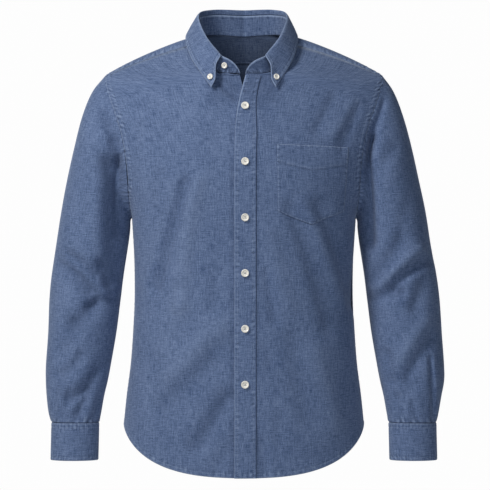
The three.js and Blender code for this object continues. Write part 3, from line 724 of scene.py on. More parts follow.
def chambray_material(name, warp_blue, weft_pale, worn_and_shaded=True):
    """Blue warp and pale weft: uneven threads each way, a fine plain weave and a faded edge, with painted
    highlight and painted shade from the sheets' attribute.
    """
    material, nodes, links, shader = new_material(name)
    weave = nodes.new("ShaderNodeUVMap")
    weave.uv_map = "weave"
    source = weave.outputs["UV"]
    warp = mapped_noise(nodes, links, source, (120, 12, 1))
    weft = mapped_noise(nodes, links, source, (12, 120, 1))
    slubs = mapped_noise(nodes, links, source, (48, 5, 1), detail=3)
    picks = mapped_noise(nodes, links, source, (6, 56, 1), detail=3)
    fleck = mapped_noise(nodes, links, source, (55, 55, 1), detail=4, roughness=0.8)
    cloud = mapped_noise(nodes, links, source, (2.2, 1.4, 1), detail=3)
    total = None
    for noise, weight in ((warp, 1.0), (weft, 1.0), (slubs, 1.3), (picks, 1.3), (fleck, 2.0), (cloud, 0.5)):
        centred = math_node(nodes, links, "SUBTRACT", noise, 0.5)
        part = math_node(nodes, links, "MULTIPLY", centred, weight)
        total = part if total is None else math_node(nodes, links, "ADD", total, part)
    tone = math_node(nodes, links, "ADD", total, 0.5, clamp=True)
    colour = mix_colours(nodes, links, tone, warp_blue, weft_pale)
    if worn_and_shaded:
        wear_and_shade = nodes.new("ShaderNodeAttribute")
        wear_and_shade.attribute_name = "wear_and_shade"
        faded_and_lit = math_node(nodes, links, "MULTIPLY", wear_and_shade.outputs["Fac"], 0.6, clamp=True)
        deep_and_shaded = math_node(nodes, links, "MULTIPLY", wear_and_shade.outputs["Fac"], -0.7, clamp=True)
        colour = mix_colours(nodes, links, faded_and_lit, colour, FADED_AND_LIT)
        colour = mix_colours(nodes, links, deep_and_shaded, colour, DEEP_AND_SHADED_INDIGO)
    links.new(colour, shader.inputs["Base Color"])
    shader.inputs["Roughness"].default_value = 0.92
    shader.inputs["Specular IOR Level"].default_value = 0.18
    shader.inputs["Sheen Weight"].default_value = 0.25
    shader.inputs["Sheen Roughness"].default_value = 0.5
    shader.inputs["Sheen Tint"].default_value = (0.62, 0.72, 0.9, 1)
    height = math_node(nodes, links, "ADD", math_node(nodes, links, "ADD", warp, weft),
                       math_node(nodes, links, "ADD", slubs, picks))
    bump = nodes.new("ShaderNodeBump")
    bump.inputs["Strength"].default_value = 0.35
    bump.inputs["Distance"].default_value = 0.0006
    links.new(height, bump.inputs["Height"])
    links.new(bump.outputs["Normal"], shader.inputs["Normal"])
    return material


def mottled_material(name, scale, first, second, roughness, detail=2.0, coat=0.0):
    """A finish that wanders between two colours."""
    material, nodes, links, shader = new_material(name)
    place = nodes.new("ShaderNodeTexCoord")
    cloud = mapped_noise(nodes, links, place.outputs["Object"], (scale, scale, scale), detail=detail)
    links.new(mix_colours(nodes, links, cloud, first, second), shader.inputs["Base Color"])
    shader.inputs["Roughness"].default_value = roughness
    shader.inputs["Coat Weight"].default_value = coat
    return material


CHAMBRAY = chambray_material("blue chambray", WARP_BLUE, WEFT_PALE)
SHADED_INSIDE_CHAMBRAY = chambray_material("inside of the chambray in painted shade", SHADED_INSIDE_BLUE, SHADED_INSIDE_PALE, worn_and_shaded=False)
SEWING_THREAD = mottled_material("sewing thread", 900, (0.13, 0.18, 0.29), (0.27, 0.34, 0.48), 0.8)
BUTTON = mottled_material("cream button", 160, (0.86, 0.81, 0.71), (0.95, 0.93, 0.86), 0.32,
                          detail=3, coat=0.15)
BUTTON_THREAD = mottled_material("button thread", 1200, (0.50, 0.50, 0.50), (0.66, 0.65, 0.63), 0.85)

# ---- levels and columns of the body's mesh -------------------------------------------------
U_COLUMNS = places(lambda u: front_point(1, u, np.full_like(u, 3.0)), 0, 1, coarse=3.6, end=SEAM_BAND)
SIDE_LEVELS = places(lambda level: front_point(1, np.full_like(level, 0.55), level), 0, UNDERARM,
                     start=8)
CHEST_LEVELS = places(lambda level: front_point(1, np.full_like(level, 1.0), level), UNDERARM,
                      YOKE_FRONT, coarse=2.2)
BACK_LEVELS = places(lambda level: back_point(1, np.full_like(level, 1.0), level), UNDERARM, YOKE_BACK,
                     coarse=2.2)
YOKE_LEVELS = places(lambda level: back_point(1, np.full_like(level, 0.3), level), YOKE_BACK, SHOULDER,
                     start=6)


def body_sheet(surface, side, levels, columns=U_COLUMNS):
    u, level = np.meshgrid(columns, levels)
    sheet = Sheet(surface(side, u, level), turned=(side > 0) == (surface is back_point))
    sheet.hang_grain()
    sheet.weft = side * sheet.weft
    sheet.u, sheet.level = u, level
    return sheet


def lap_lift(side, points):
    """The right front passes under the left one, so it lies deeper near the centre."""
    return -LAP_DEPTH * (1 - ease(30, 75, -points[..., 0])) if side < 0 else 0.0


def merge_levels(*parts):
    return np.unique(np.round(np.concatenate(parts), 6))


FRONT_LEVELS = merge_levels(SIDE_LEVELS, CHEST_LEVELS)
BACK_PANEL_LEVELS = merge_levels(SIDE_LEVELS, BACK_LEVELS, [YOKE_BACK + 0.03, YOKE_BACK + 0.09])
stitching = {}


def remember(name, path):
    stitching.setdefault(name, []).append(path)


def collar_shade(points):
    """How much painted shade darkens the cloth that the collar covers."""
    return COLLAR_SHADE * ease(-132, -84, points[..., 2]) * ease(72, 44, np.abs(points[..., 0]))


def placket_shade(side, points):
    """The painted shadow that the placket's edges cast on the cloth beside them."""
    x, z = points[..., 0], points[..., 2]
    place, width = (22.5, 1.8) if side > 0 else (-20.5, 3.2)
    uneven = 0.62 + 0.3 * np.sin(z / 31.0 + side) * np.sin(z / 17.0) + 0.08 * np.sin(z * 0.8)
    return PLACKET_SHADE * uneven * np.exp(-((x - place) / width) ** 2) * ease(-118, -150, z)


def front_sheet(side):
    sheet = body_sheet(front_point, side, FRONT_LEVELS)
    name = "front_" + hand(side)
    sheet.crease(crease_lift(hand(side) + "Front", sheet.points))
    sheet.lift += lap_lift(side, sheet.points)
    armhole = ease(UNDERARM - 0.3, UNDERARM + 0.6, sheet.level)
    sheet.seam("last_column", 1.0 + side, lines=ARMHOLE_ROWS, welt=0.6, pucker=0.85, period=7.6,
               shown=armhole)
    sheet.seam("last_column", 4.0 + side, lines=SIDE_ROWS, welt=0.3, pucker=0.2, shown=1 - armhole)
    sheet.seam("first_row", 2.0 + side, lines=(HEM_ROW,), welt=0.35, pucker=0.3, groove=0.2, period=9)
    sheet.seam("last_row", 3.0 + side, lines=(), pucker=0.25, reach=5)
    above = FRONT_LEVELS >= UNDERARM
    # painted shadow beside the placket and painted shade under the collar
    sheet.wear_and_shade -= placket_shade(side, sheet.points) + collar_shade(sheet.points)
    for distance in ARMHOLE_ROWS:
        remember(name, sheet.line("last_column", distance, above))
    remember(name, sheet.line("last_column", SIDE_ROWS[1], ~above))
    remember(name, sheet.line("first_row", HEM_ROW))
    return sheet


def back_sheet(side):
    sheet = body_sheet(back_point, side, BACK_PANEL_LEVELS)
    shown = ease(1, 0.85, sheet.u) * ease(YOKE_BACK, YOKE_BACK - 2, sheet.level)
    sheet.crease(shown * crease_lift("back", sheet.points))
    sheet.lift -= SEAM_TUCK * ease(YOKE_BACK, YOKE_BACK + 0.03, sheet.level)
    armhole = ease(UNDERARM - 0.3, UNDERARM + 0.6, sheet.level)
    sheet.seam("last_column", 7.0 + side, lines=ARMHOLE_ROWS, welt=0.6, pucker=0.8, period=7.6, shown=armhole)
    sheet.seam("last_column", 8.0 + side, lines=SIDE_ROWS[:1], pucker=0.2, shown=1 - armhole)
    sheet.seam("first_row", 9.0, lines=(HEM_ROW,), welt=0.35, pucker=0.3, groove=0.2, period=9)
    sheet.seam("last_row", 10.0, lines=(), pucker=0.25)
    above = BACK_PANEL_LEVELS >= UNDERARM
    for distance in ARMHOLE_ROWS:
        remember("back", sheet.line("last_column", distance, above))
    remember("back", sheet.line("first_row", HEM_ROW))
    return sheet


def yoke_sheet(side):
    behind = back_point(side, *np.meshgrid(U_COLUMNS, YOKE_LEVELS))
    front_levels = np.array([SHOULDER - 0.1, SHOULDER - 0.2, YOKE_FRONT])
    before = front_point(side, *np.meshgrid(U_COLUMNS, front_levels))
    sheet = Sheet(np.concatenate([behind, before]), turned=side > 0)
    sheet.weft = side * sheet.weft
    tip = ease(3, 16, sheet.last_column)
    sheet.seam("last_column", 11.0 + side, lines=ARMHOLE_ROWS, welt=0.6, pucker=0.8, period=7.6,
               shown=mix(0.35, 1, ease(3, 16, sheet.last_row)))
    sheet.seam("first_row", 12.0, lines=YOKE_ROWS, welt=0.4, pucker=0.35, wear_and_shade=-0.3, shown=tip)
    sheet.seam("last_row", 13.0 + side, lines=YOKE_ROWS, welt=0.4, pucker=0.5, shown=tip)
    for distance in ARMHOLE_ROWS:
        remember("yoke", sheet.line("last_column", distance))
    for edge in ("first_row", "last_row"):
        for distance in YOKE_ROWS:
            remember("yoke", sheet.line(edge, distance))
    return sheet


# ---- sleeves and cuffs ---------------------------------------------------------------------
def ring_point(side, level, angle):
    """A point on a ring of the sleeve: angle 0 is its outer point, pi its inner one, below 0 the front."""
    level, angle = np.broadcast_arrays(np.asarray(level, float), np.asarray(angle, float))
    out_x = along(SLEEVE, hand(side) + "OutX", level)
    reach = (1 + np.cos(angle)) / 2
    return point(
        side * mix(along(SLEEVE, "inX", level), out_x, reach),
        along(SLEEVE, "middleY", level) + along(SLEEVE, "depth", level) * np.sin(angle),
        mix(along(SLEEVE, "inZ", level), along(SLEEVE, "outZ", level), reach),
    )


def ring_angle(side, points):
    """The ring angles at which points of the armhole lie."""
    top, bottom = ring_point(side, 0, 0), ring_point(side, 0, math.pi)
    axis, middle = (top - bottom) / 2, (top + bottom) / 2
    up = (points - middle) @ axis / (axis @ axis)
    return np.arctan2((points[:, 1] - SLEEVE[0]["middleY"]) / SLEEVE[0]["depth"], up)


def sleeve_sheet(side):
    yoke_levels = YOKE_LEVELS[1:]
    loop = np.concatenate([
        front_point(side, 1, CHEST_LEVELS),
        front_point(side, 1, np.array([SHOULDER - 0.2, SHOULDER - 0.1])),
        back_point(side, 1, yoke_levels[::-1]),
        back_point(side, 1, BACK_LEVELS[::-1]),
    ])
    angles = ring_angle(side, loop)
    head = np.concatenate([SLEEVE_TUCK * np.array([-1, -0.3]), np.linspace(0, 0.55, 9)])
    levels = np.concatenate([head[:-1], places(lambda level: ring_point(side, level, np.zeros_like(level)),
                                               0.55, SLEEVE_END, coarse=4.3, end=6)])
    strayed = loop - ring_point(side, 0, angles)
    level, angle = np.meshgrid(levels, angles, indexing="ij")
    points = ring_point(side, level, angle) + strayed[None] * (1 - ease(0, 3, level))[..., None]
    sheet = Sheet(points, turned=side > 0)
    axis = mix(ARM_AXIS_TOP, ARM_AXIS_CUFF, np.clip((ARM_TOP_Z - points[..., 2]) / ARM_LENGTH, 0, 1))
    sheet.weft = ARM_GIRTH * np.unwrap(np.arctan2(points[..., 1] - 6, side * points[..., 0] - axis), axis=1)
    sheet.warp = -points[..., 2] + 0.09 * side * points[..., 0]
    arm = hand(side) + "Sleeve"
    shown = np.abs(np.sin(angle)) * ease(SLEEVE_END, SLEEVE_END - 1, level)
    shown = np.maximum(shown, np.abs(np.sin(angle)) ** 0.5 * ease(SLEEVE_END, SLEEVE_END - 0.2, level) * 0.6)
    front = crease_lift(arm + "Front", points)
    behind = crease_lift(arm + "Back", points)
    sheet.crease(shown * np.where(angle < 0, front, behind) * ease(0, 0.6, level))
    sheet.lift -= SEAM_TUCK * ease(0, -0.3 * SLEEVE_TUCK, level)
    sheet.seam("first_row", 15.0 + side, lines=(), pucker=0.6, reach=7, groove=0.7, wear_and_shade=-0.2)
    sheet.seam("last_row", 16.0 + side, lines=(), pucker=0.8, reach=9, groove=0.9, period=12, wear_and_shade=-0.3)
    return sheet


def cuff_point(side, angle, down):
    """A cuff is a band whose ends lap at the back of the wrist, from its upper edge (0) down."""
    end = SLEEVE[SLEEVE_END]
    lift = 1.8 * ease(2 * math.pi - 0.9, 2 * math.pi, angle)
    half_x = (end["rightOutX"] - end["inX"]) / 2 + lift
    middle_x = (end["rightOutX"] + end["inX"]) / 2 + 1.5 * down
    return point(
        side * (middle_x + half_x * np.cos(CUFF_OPENING + angle)),
        end["middleY"] + (end["depth"] + lift) * np.sin(CUFF_OPENING + angle),
        CUFF_TOP_Z - CUFF_HEIGHT * down,
    )


def cuff_sheet(side):
    whole = 2 * math.pi + CUFF_OVERLAP
    angles = places(lambda angle: cuff_point(side, angle, np.zeros_like(angle)), 0, whole, 2.4, 5, 5)
    down = spaced(CUFF_HEIGHT, 2.6, 8, 8) / CUFF_HEIGHT
    angle, down = np.meshgrid(angles, down)
    sheet = Sheet(cuff_point(side, angle, down), turned=side > 0)
    for edge, seed in (("first_row", 17.0), ("last_row", 18.0)):
        rows = CUFF_TOP_ROWS if edge == "first_row" else (CUFF_FOOT_ROW,)
        sheet.seam(edge, seed + side, lines=rows, groove=0.0, pucker=0.2, period=6, wear_and_shade=0.4)
        sheet.rolled(edge, drop=0.9, reach=2.0)
    for edge, seed in (("first_column", 19.0), ("last_column", 20.0)):
        sheet.seam(edge, seed + side, lines=(CUFF_END_ROW,), groove=0.0, pucker=0.15)
        sheet.rolled(edge)
    name = "cuff_" + hand(side)
    for edge, distance in (("first_row", CUFF_TOP_ROWS[0]), ("first_row", CUFF_TOP_ROWS[1]),
                           ("last_row", CUFF_FOOT_ROW),
                           ("first_column", CUFF_END_ROW), ("last_column", CUFF_END_ROW)):
        remember(name, sheet.line(edge, distance))
    return sheet


def slit_sheet(side):
    """The pointed placket over the sleeve's slit."""
    middle = CUFF_OPENING + CUFF_OVERLAP / 2
    levels = np.concatenate([np.linspace(SLIT_TOP, SLIT_TOP + 0.5, 10)[:-1],
                             np.linspace(SLIT_TOP + 0.5, SLEEVE_END - 0.08, 44)])[::-1]
    level, share = np.meshgrid(levels, np.linspace(-0.5, 0.5, 15), indexing="ij")
    offset = share * SLIT_WIDTH * mix(0.05, 1, ease(SLIT_TOP, SLIT_TOP + 0.5, level))
    before, after = (ring_point(side, level, middle + step) for step in (-0.01, 0.01))
    per_angle = np.linalg.norm(after - before, axis=-1) / 0.02
    angle = middle + offset / per_angle
    surface = lambda a, b: ring_point(side, a, b)
    points = surface(level, angle) + outward(surface, level, angle, side) * LAID_LIFT
    sheet = Sheet(points, turned=side < 0)
    sheet.lift += (np.abs(np.sin(angle)) * ease(SLEEVE_END, SLEEVE_END - 1, level)
                   * crease_lift(hand(side) + "SleeveBack", points))
    for edge in ("first_column", "last_column", "last_row"):
        sheet.seam(edge, 21.0 + side, lines=(SLIT_ROW,), groove=0.0, pucker=0.12)
        sheet.rolled(edge)
    name = "sleeve_placket_" + hand(side)
    for edge in ("first_column", "last_column"):
        remember(name, sheet.line(edge, SLIT_ROW))
    return sheet


# ---- collar --------------------------------------------------------------------------------
def collar_point(side, line, station):
    name = line.lower()
    x = along(COLLAR, hand(side) + line + "X", station)
    return point(side * x, along(COLLAR, name + "Y", station), along(COLLAR, name + "Z", station))


def stand_top(side, station):
    """The stand's upper edge: below the roll line, then rounded down to the front corner."""
    station = np.asarray(station, float)
    on_leaf = np.minimum(station, LEAF_END)
    share = mix(STAND_SHARE, 0.94, ease(LEAF_END - 1, LEAF_END, station))[..., None]
    height = (collar_point(side, "Fold", on_leaf) - neck_point(side, on_leaf)) * share
    past = np.clip(station - LEAF_END, 0, 1)
    rounded = np.maximum((1 - past * past) ** 0.75, 0.06)[..., None]
    return neck_point(side, station) + height * rounded


def stand_point(side, station, share):
    bottom, top = neck_point(side, station), stand_top(side, station)
    return mix(bottom, top, np.asarray(share, float)[..., None])


def stand_sheet(side):
    stations = places(lambda s: stand_point(side, s, np.full_like(s, 0.0)), 0, STAND_END, 2.6, 0, 8)
    station, share = np.meshgrid(stations, np.linspace(0, 1, 20))
    sheet = Sheet(stand_point(side, station, share), turned=side > 0)
    sheet.weft = side * sheet.weft
    sheet.lift += ease(SHOULDER_STATION, SHOULDER_STATION + 0.6, station) * lap_lift(side, sheet.points)
    sheet.seam("first_row", 22.0 + side, lines=STAND_FOOT_ROWS, groove=0.5, pucker=0.2, wear_and_shade=-0.6,
               shown=mix(0.4, 1, ease(SHOULDER_STATION, SHOULDER_STATION + 1, station)))
    sheet.seam("last_row", 23.0 + side, lines=(STAND_TOP_ROW,), groove=0.0, pucker=0.25, wear_and_shade=1.2)
    # painted shade on the stand where the leaf covers it, lighter on the right side
    under_leaf = ease(LEAF_END - 0.9, LEAF_END - 0.2, station) * ease(1, 5, sheet.last_row)
    sheet.wear_and_shade -= UNDER_LEAF_SHADE * under_leaf * (1 - 0.4 * (side < 0))
    for distance in STAND_FOOT_ROWS:
        remember("collar_stand", sheet.line("first_row", distance))
    remember("collar_stand", sheet.line("last_row", STAND_TOP_ROW))
    return sheet


def fold_outward(fold):
    return unit(fold * [1, 1, 0] - [0, NECK_AXIS_Y, 0])


def leaf_fall(side, station, share):
    """The leaf outside the roll line, from its shoulder (0) to its edge (1)."""
    fold = collar_point(side, "Fold", station)
    away = fold_outward(fold)
    share = np.asarray(share, float)[..., None]
    falling = mix(fold + away * 3.4 + [0, 0, -2.6], collar_point(side, "Edge", station), share)
    falling = falling + away * 0.8 * np.sin(share * np.pi)
    near_tip = ease(LEAF_END - 0.8, LEAF_END, np.asarray(station, float))[..., None]
    sway = 3 * np.sin(share * 2 * np.pi) * near_tip
    return falling + sway * [side, 0, 0]


FALL_START = 3             # leaf row where the fall starts; below it are the foot, inside and fold
FALL_ROWS = 5


def leaf_point(side, station, row):
    """The leaf in section: up from the stand (0), over the roll line (2) and down to its edge."""
    fold = collar_point(side, "Fold", station)
    away = fold_outward(fold)
    foot = stand_top(side, station) - away * 1.2 + [0, 0, 0.5]
    inside = mix(foot, fold, 0.75) - away * 0.8
    falls = [leaf_fall(side, station, np.full(np.shape(station), share))
             for share in np.linspace(0, 1, FALL_ROWS)]
    section = np.stack([foot, inside, fold, *falls])
    flat = section.reshape(len(section), -1, 3)
    rows = np.asarray(row, float).ravel()
    found = np.stack([curve(flat[:, i], rows[i]) for i in range(flat.shape[1])])
    return found.reshape(fold.shape)


def leaf_sheet(side):
    stations = places(lambda s: collar_point(side, "Edge", s), 0, LEAF_END, 2.6, 0, 8)
    rows = np.concatenate([np.linspace(0, FALL_START, 14)[:-1],
                           places(lambda r: leaf_fall(side, np.full_like(r, 3.0), r), 0, 1, 2.4, 0, 8)
                           * (FALL_ROWS - 1) + FALL_START])
    station, row = np.meshgrid(stations, rows)
    sheet = Sheet(leaf_point(side, station, row), turned=side < 0)
    sheet.weft = side * sheet.weft
    sheet.seam("last_row", 24.0 + side, lines=(LEAF_ROW,), groove=0.0, pucker=0.28, period=6.5, wear_and_shade=0.9)
    sheet.seam("last_column", 25.0 + side, lines=(LEAF_ROW,), groove=0.0, pucker=0.2, wear_and_shade=1.3)
    sheet.rolled("last_row", drop=0.9, reach=2)
    sheet.rolled("last_column", drop=0.9, reach=2)
    sheet.wear_and_shade += 0.8 * np.exp(-((row - 2.2) / 0.5) ** 2)
    remember("collar_leaf", sheet.line("last_row", LEAF_ROW))
    remember("collar_leaf", sheet.line("last_column", LEAF_ROW, rows >= FALL_START - 1))
    return sheet


# ---- laid pieces ---------------------------------------------------------------------------
def raised_front(u, level, lift):
    surface = lambda a, b: front_point(1, a, b)
    base = surface(u, level)
    height = lift + crease_lift("leftFront", base)
    return base + outward(surface, u, level) * height[..., None]


def placket_sheet():
    levels = places(lambda level: front_point(1, np.full_like(level, 0.05), level), 0, NECK_FRONT - 0.06,
                    2.8, 6, 6)
    width = mix(PLACKET_WIDTH, PLACKET_TOP_WIDTH, ease(9.5, 11.7, levels))
    shares = spaced(PLACKET_WIDTH, 2.2, 7, 7) / PLACKET_WIDTH
    level, share = np.meshgrid(levels, shares, indexing="ij")
    run = share * width[:, None]
    centre = along(FRONT, "over", level, NECK_FRONT)
    end = along(FRONT, "sideX", level, UNDERARM)
    bend = along(FRONT, "bend", level)
    turn = np.radians(np.clip(along(FRONT, "turn", level), 0, 90))
    reach = (run / (end - centre)) ** (1 / bend)
    u = np.arcsin(reach * np.sin(turn)) / turn
    sheet = Sheet(raised_front(u, level, LAID_LIFT))
    # the right edge gets a painted shadow line where it rolls under
    for edge, seed in (("first_column", 26.0), ("last_column", 27.0)):
        sheet.seam(edge, seed, lines=(PLACKET_ROW,), groove=0.0, pucker=0.35, reach=3, period=8,
                   wear_and_shade=0.35 if edge == "first_column" else 0.1)
        sheet.rolled(edge, drop=1.0, reach=1.6, shade=0.9 if edge == "last_column" else 0.0)
        remember("front_placket", sheet.line(edge, PLACKET_ROW))
    # painted highlight where the open edge near the neck catches the light, and painted shade under the
    # collar
    lit_open_edge = np.exp(-(sheet.first_column / 1.5) ** 2) * ease(-150, -120, sheet.points[..., 2])
    sheet.wear_and_shade += 0.8 * lit_open_edge - collar_shade(sheet.points) * ease(1, 5, sheet.first_column)
    sheet.seam("first_row", 28.0, lines=(HEM_ROW,), groove=0.0, pucker=0.2)
    sheet.rolled("first_row")
    return sheet


def pocket_place(share, down):
    """Where a share across and down the pocket lies on the front."""
    foot_z = np.interp(share, [row["share"] for row in POCKET_FOOT], [row["z"] for row in POCKET_FOOT])
    x = mix(mix(*POCKET_TOP_X, share), mix(*POCKET_FOOT_X, share), down)
    z = mix(mix(*POCKET_TOP_Z, share), foot_z, down)
    return x, z


def header_down(share):
    """How far down the pocket the seam of its header lies."""
    return np.interp(share, [row["share"] for row in HEADER], [row["down"] for row in HEADER])


def on_pocket(share, down):
    return raised_front(*place_on_front(*pocket_place(np.asarray(share), np.asarray(down))), LAID_LIFT)


def pocket_sheet():
    share, down = np.meshgrid(spaced(POCKET_WIDTH, 2.6, 8, 8) / POCKET_WIDTH,
                              spaced(POCKET_HEIGHT, 2.6, 8, 8) / POCKET_HEIGHT)
    sheet = Sheet(on_pocket(share, down), turned=True)
    # the sewn edges get a painted shadow line where they roll under
    for edge, seed in (("first_column", 29.0), ("last_column", 30.0), ("last_row", 31.0)):
        sheet.seam(edge, seed, lines=(POCKET_ROW,), groove=0.0, pucker=0.2, reach=3, wear_and_shade=0.5)
        sheet.rolled(edge, drop=1.1, shade=1.6)
        remember("chest_pocket", sheet.line(edge, POCKET_ROW))
    sheet.seam("first_row", 32.0, lines=(), groove=0.0, pucker=0.12, wear_and_shade=0.7)
    sheet.rolled("first_row", drop=0.3)
    # the header's seam: a raised header and a groove, with a painted highlight above the seam and a painted
    # shadow below it
    past = (down - header_down(share)) * POCKET_HEIGHT
    sheet.lift += 0.5 * ease(2.0, -1.0, past) - 0.5 * np.exp(-(past / 1.3) ** 2)
    sheet.wear_and_shade += 0.35 * np.exp(-((past + 1.2) / 1.3) ** 2) - 0.6 * np.exp(-((past - 1.6) / 1.3) ** 2)
    line = np.linspace(0.02, 0.98, 60)
    remember("chest_pocket", on_pocket(line, header_down(line)))
    for start, end in ((0.075, 0.02), (0.95, 0.98)):
        reach = np.linspace(0.01, 0.24, 20)
        remember("chest_pocket", on_pocket(np.linspace(start, end, 20), reach))
    return sheet


# ---- buttons -------------------------------------------------------------------------------
def button_form(radius):
    """A four-hole button with a rounded rim and a dished middle, its back at the origin, facing +Z."""
    form = bmesh.new()
    height = BUTTON_HEIGHT
    profile = [
        (0, 0), (radius - 1.2, 0), (radius - 0.3, 0.35), (radius, 1.1), (radius - 0.15, 1.8),
        (radius - 0.6, height - 0.2), (radius - 1.1, height), (radius - 1.6, height - 0.15),
        (0.66 * radius, height - 0.75), (0.6 * radius, height - 0.9), (0, height - 0.8),
    ]
    corners = [form.verts.new((x * MM, 0, z * MM)) for x, z in profile]
    edges = [form.edges.new(pair) for pair in zip(corners, corners[1:])]
    bmesh.ops.spin(form, geom=corners + edges, cent=(0, 0, 0), axis=(0, 0, 1), angle=2 * math.pi,
                   steps=28, use_merge=True)
    bmesh.ops.remove_doubles(form, verts=form.verts, dist=0.01 * MM)
    bmesh.ops.recalc_face_normals(form, faces=form.faces)
    return form


def drill(button, radius):
    """Cuts the four holes through a button."""
    form = bmesh.new()
    hole = 0.1 * radius
    for x, y in ((1, 1), (-1, 1), (-1, -1), (1, -1)):
        place = Matrix.Translation(Vector((x, y, 0)) * 0.2 * radius * MM)
        bmesh.ops.create_cone(form, cap_ends=True, segments=12, radius1=hole * MM, radius2=hole * MM,
                              depth=4 * BUTTON_HEIGHT * MM, matrix=place)
    cutter = make_object("drill", form, [])
    cut = button.modifiers.new("holes", "BOOLEAN")
    cut.operation = "DIFFERENCE"
    cut.object = cutter
    cut.solver = "EXACT"
    graph = bpy.context.evaluated_depsgraph_get()
    drilled = bpy.data.meshes.new_from_object(button.evaluated_get(graph))
    button.modifiers.clear()
    button.data = drilled
    bpy.data.objects.remove(cutter)


def strands(radius):
    """The thread through a button's holes: a cross of two strands each way."""
    form = bmesh.new()
    span, lay = 0.2 * radius, BUTTON_HEIGHT - 0.72
    for angle in (45, -45):
        turn = Matrix.Rotation(math.radians(angle), 4, "Z")
        for shift in (-0.3, 0.3):
            path = [(x * span * 1.42, shift, lay - 1.3 * abs(x) ** 6) for x in np.linspace(-1, 1, 9)]
            ring = None
            for x, y, z in path:
                place = (turn @ Matrix.Translation(Vector((x, y, z)) * MM)
                         @ Matrix.Rotation(math.pi / 2, 4, "Y"))
                made = bmesh.ops.create_circle(form, segments=6, radius=0.28 * MM, matrix=place)["verts"]
                edges = list({edge for vertex in made for edge in vertex.link_edges
                              if all(end in made for end in edge.verts)})
                if ring:
                    bmesh.ops.bridge_loops(form, edges=ring + edges)
                ring = edges
    bmesh.ops.recalc_face_normals(form, faces=form.faces)
    return form


def sew_button(name, radius, seat, normal):
    """A button and its thread on a seat, named after the solid that it stands for."""
    facing = Vector(normal).to_track_quat("Z", "Y").to_matrix().to_4x4()
    place = Matrix.Translation(Vector(seat) * MM) @ facing
    button = make_object("sewn_" + name, button_form(radius), [BUTTON])
    drill(button, radius)
    button.data.transform(place)
    thread = make_object("thread_" + name, strands(radius), [BUTTON_THREAD])
    thread.data.transform(place)
    for piece in (button, thread):
        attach(piece, "root")
    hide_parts(name)


def seat_on(surface, first, second, handed, lift):
    first, second = np.array(float(first)), np.array(float(second))
    normal = outward(surface, first, second, handed)
    return surface(first, second) + normal * lift, normal


def front_button_seats():
    for i in range(BUTTON_COUNT):
        u, level = place_on_front(BUTTON_X, BUTTON_TOP_Z - i * BUTTON_SPACING)
        normal = outward(lambda a, b: front_point(1, a, b), u, level)
        yield f"button_front_{i + 1}", raised_front(u, level, LAID_LIFT + BUTTON_SHANK), normal


# ---- the shirt -----------------------------------------------------------------------------
front_left = cut_cloth("cloth_front_left", front_sheet(1))
front_right = cut_cloth("cloth_front_right", front_sheet(-1))
back = cut_cloth("cloth_back", back_sheet(1), back_sheet(-1), shaded_inside=True)
yoke = cut_cloth("cloth_yoke", yoke_sheet(1), yoke_sheet(-1), thickness=YOKE_CLOTH, shaded_inside=True)
stand = cut_cloth("cloth_collar_stand", stand_sheet(1), stand_sheet(-1), thickness=STAND_CLOTH)
leaf = cut_cloth("cloth_collar_leaf", leaf_sheet(1), leaf_sheet(-1), thickness=LEAF_CLOTH)
placket = cut_cloth("cloth_front_placket", placket_sheet())
pocket = cut_cloth("cloth_chest_pocket", pocket_sheet())
sleeves = {side: cut_cloth(f"cloth_sleeve_{word}", sleeve_sheet(side)) for side, word in SIDES}
cuffs = {side: cut_cloth(f"cloth_cuff_{word}", cuff_sheet(side), thickness=CUFF_CLOTH)
         for side, word in SIDES}
slits = {side: cut_cloth(f"cloth_sleeve_placket_{word}", slit_sheet(side)) for side, word in SIDES}

finish_cloth(front_left, "front_left")
finish_cloth(front_right, "front_right")
finish_cloth(back, "back")
finish_cloth(yoke, "yoke")
finish_cloth(stand, "collar_stand")
finish_cloth(leaf, "collar_leaf")
finish_cloth(placket, "front_placket")
finish_cloth(pocket, "chest_pocket")
for side, word in SIDES:
    finish_cloth(sleeves[side], f"sleeve_{word}")
    finish_cloth(cuffs[side], f"cuff_{word}")
    finish_cloth(slits[side], f"sleeve_placket_{word}")

cloth_of = {"front_left": front_left, "front_right": front_right, "back": back, "yoke": yoke,
            "collar_stand": stand, "collar_leaf": leaf, "front_placket": placket, "chest_pocket": pocket,
            "cuff_left": cuffs[1], "cuff_right": cuffs[-1],
            "sleeve_placket_left": slits[1], "sleeve_placket_right": slits[-1]}
for name, paths in stitching.items():
    sew("stitches_" + name, cloth_of[name], paths)

for name, seat, normal in front_button_seats():
    sew_button(name, BUTTON_RADIUS, seat, normal)
stand_seat = seat_on(lambda a, b: stand_point(-1, a, b), 4.22, 0.5, 1, BUTTON_SHANK - LAP_DEPTH)
sew_button("button_collar_stand", SMALL_BUTTON_RADIUS, *stand_seat)
for side, word in SIDES:
    tip = seat_on(lambda a, b: leaf_fall(side, a, b), 3.84, 0.82, side, BUTTON_SHANK)
    sew_button(f"button_collar_{word}", SMALL_BUTTON_RADIUS, *tip)
    lap = CUFF_OPENING + CUFF_OVERLAP / 2
    around_cuff = lambda a, b: cuff_point(side, 2 * math.pi + a - CUFF_OPENING, b)
    on_cuff = seat_on(around_cuff, lap, 0.5, -side, BUTTON_SHANK)
    sew_button(f"button_cuff_{word}", SMALL_BUTTON_RADIUS, *on_cuff)
    on_slit = seat_on(lambda a, b: ring_point(side, b, a), lap, 12, -side, LAID_LIFT + BUTTON_SHANK)
    sew_button(f"button_slit_{word}", SMALL_BUTTON_RADIUS, *on_slit)


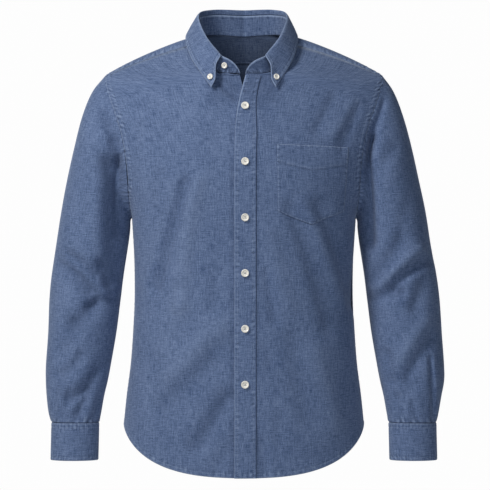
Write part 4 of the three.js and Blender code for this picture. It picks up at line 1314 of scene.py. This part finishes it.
# ---- floor, light and camera ---------------------------------------------------------------
def floor_material():
    material, _, _, shader = new_material("pale floor")
    shader.inputs["Base Color"].default_value = (0.9, 0.9, 0.9, 1)
    shader.inputs["Roughness"].default_value = 0.9
    return material


def lay_floor(height, half_width):
    form = bmesh.new()
    bmesh.ops.create_grid(form, x_segments=1, y_segments=1, size=half_width,
                          matrix=Matrix.Translation((0, 0, height)))
    make_object("floor", form, [floor_material()])


def soft_light(name, place, target, size, power, colour=(1, 1, 1)):
    data = bpy.data.lights.new(name, "AREA")
    data.size = size
    data.energy = power
    data.color = colour
    light = bpy.data.objects.new(name, data)
    light.location = place
    light.rotation_euler = (Vector(target) - Vector(place)).to_track_quat("-Z", "Y").to_euler()
    bpy.context.scene.collection.objects.link(light)


# places and sizes in metres, powers in watts
CHEST = (0, 0, -0.3)
FLOOR_HEIGHT = -1.25
FLOOR_HALF_WIDTH = 4.0
CAMERA_PLACE = (0.00187, -5, -0.3485)
CAMERA_LENS = 216.1

lay_floor(FLOOR_HEIGHT, FLOOR_HALF_WIDTH)
soft_light("key light", (-1.45, -1.45, 1.3), CHEST, 0.8, 50, (1, 0.98, 0.96))
soft_light("fill light", (0.7, -4.2, 0.8), CHEST, 2.6, 50, (0.84, 0.91, 1))
soft_light("back light", (-1.4, 3.6, 1.2), CHEST, 2.6, 60, (0.95, 0.97, 1))

# The world is the white background. It gives no diffuse light, so that the lights shape the folds.
world = bpy.data.worlds.new("studio")
bpy.context.scene.world = world
world.use_nodes = True
world.node_tree.nodes["Background"].inputs["Color"].default_value = (0.985, 0.985, 0.985, 1)
world.cycles_visibility.diffuse = False
bpy.context.scene.view_settings.view_transform = "Standard"

camera_data = bpy.data.cameras.new("camera")
camera_data.lens = CAMERA_LENS
camera_data.sensor_width = 36
camera_data.clip_end = 60
camera = bpy.data.objects.new("camera", camera_data)
camera.location = CAMERA_PLACE
camera.rotation_euler = (math.pi / 2, 0, 0)
bpy.context.scene.collection.objects.link(camera)
bpy.context.scene.camera = camera
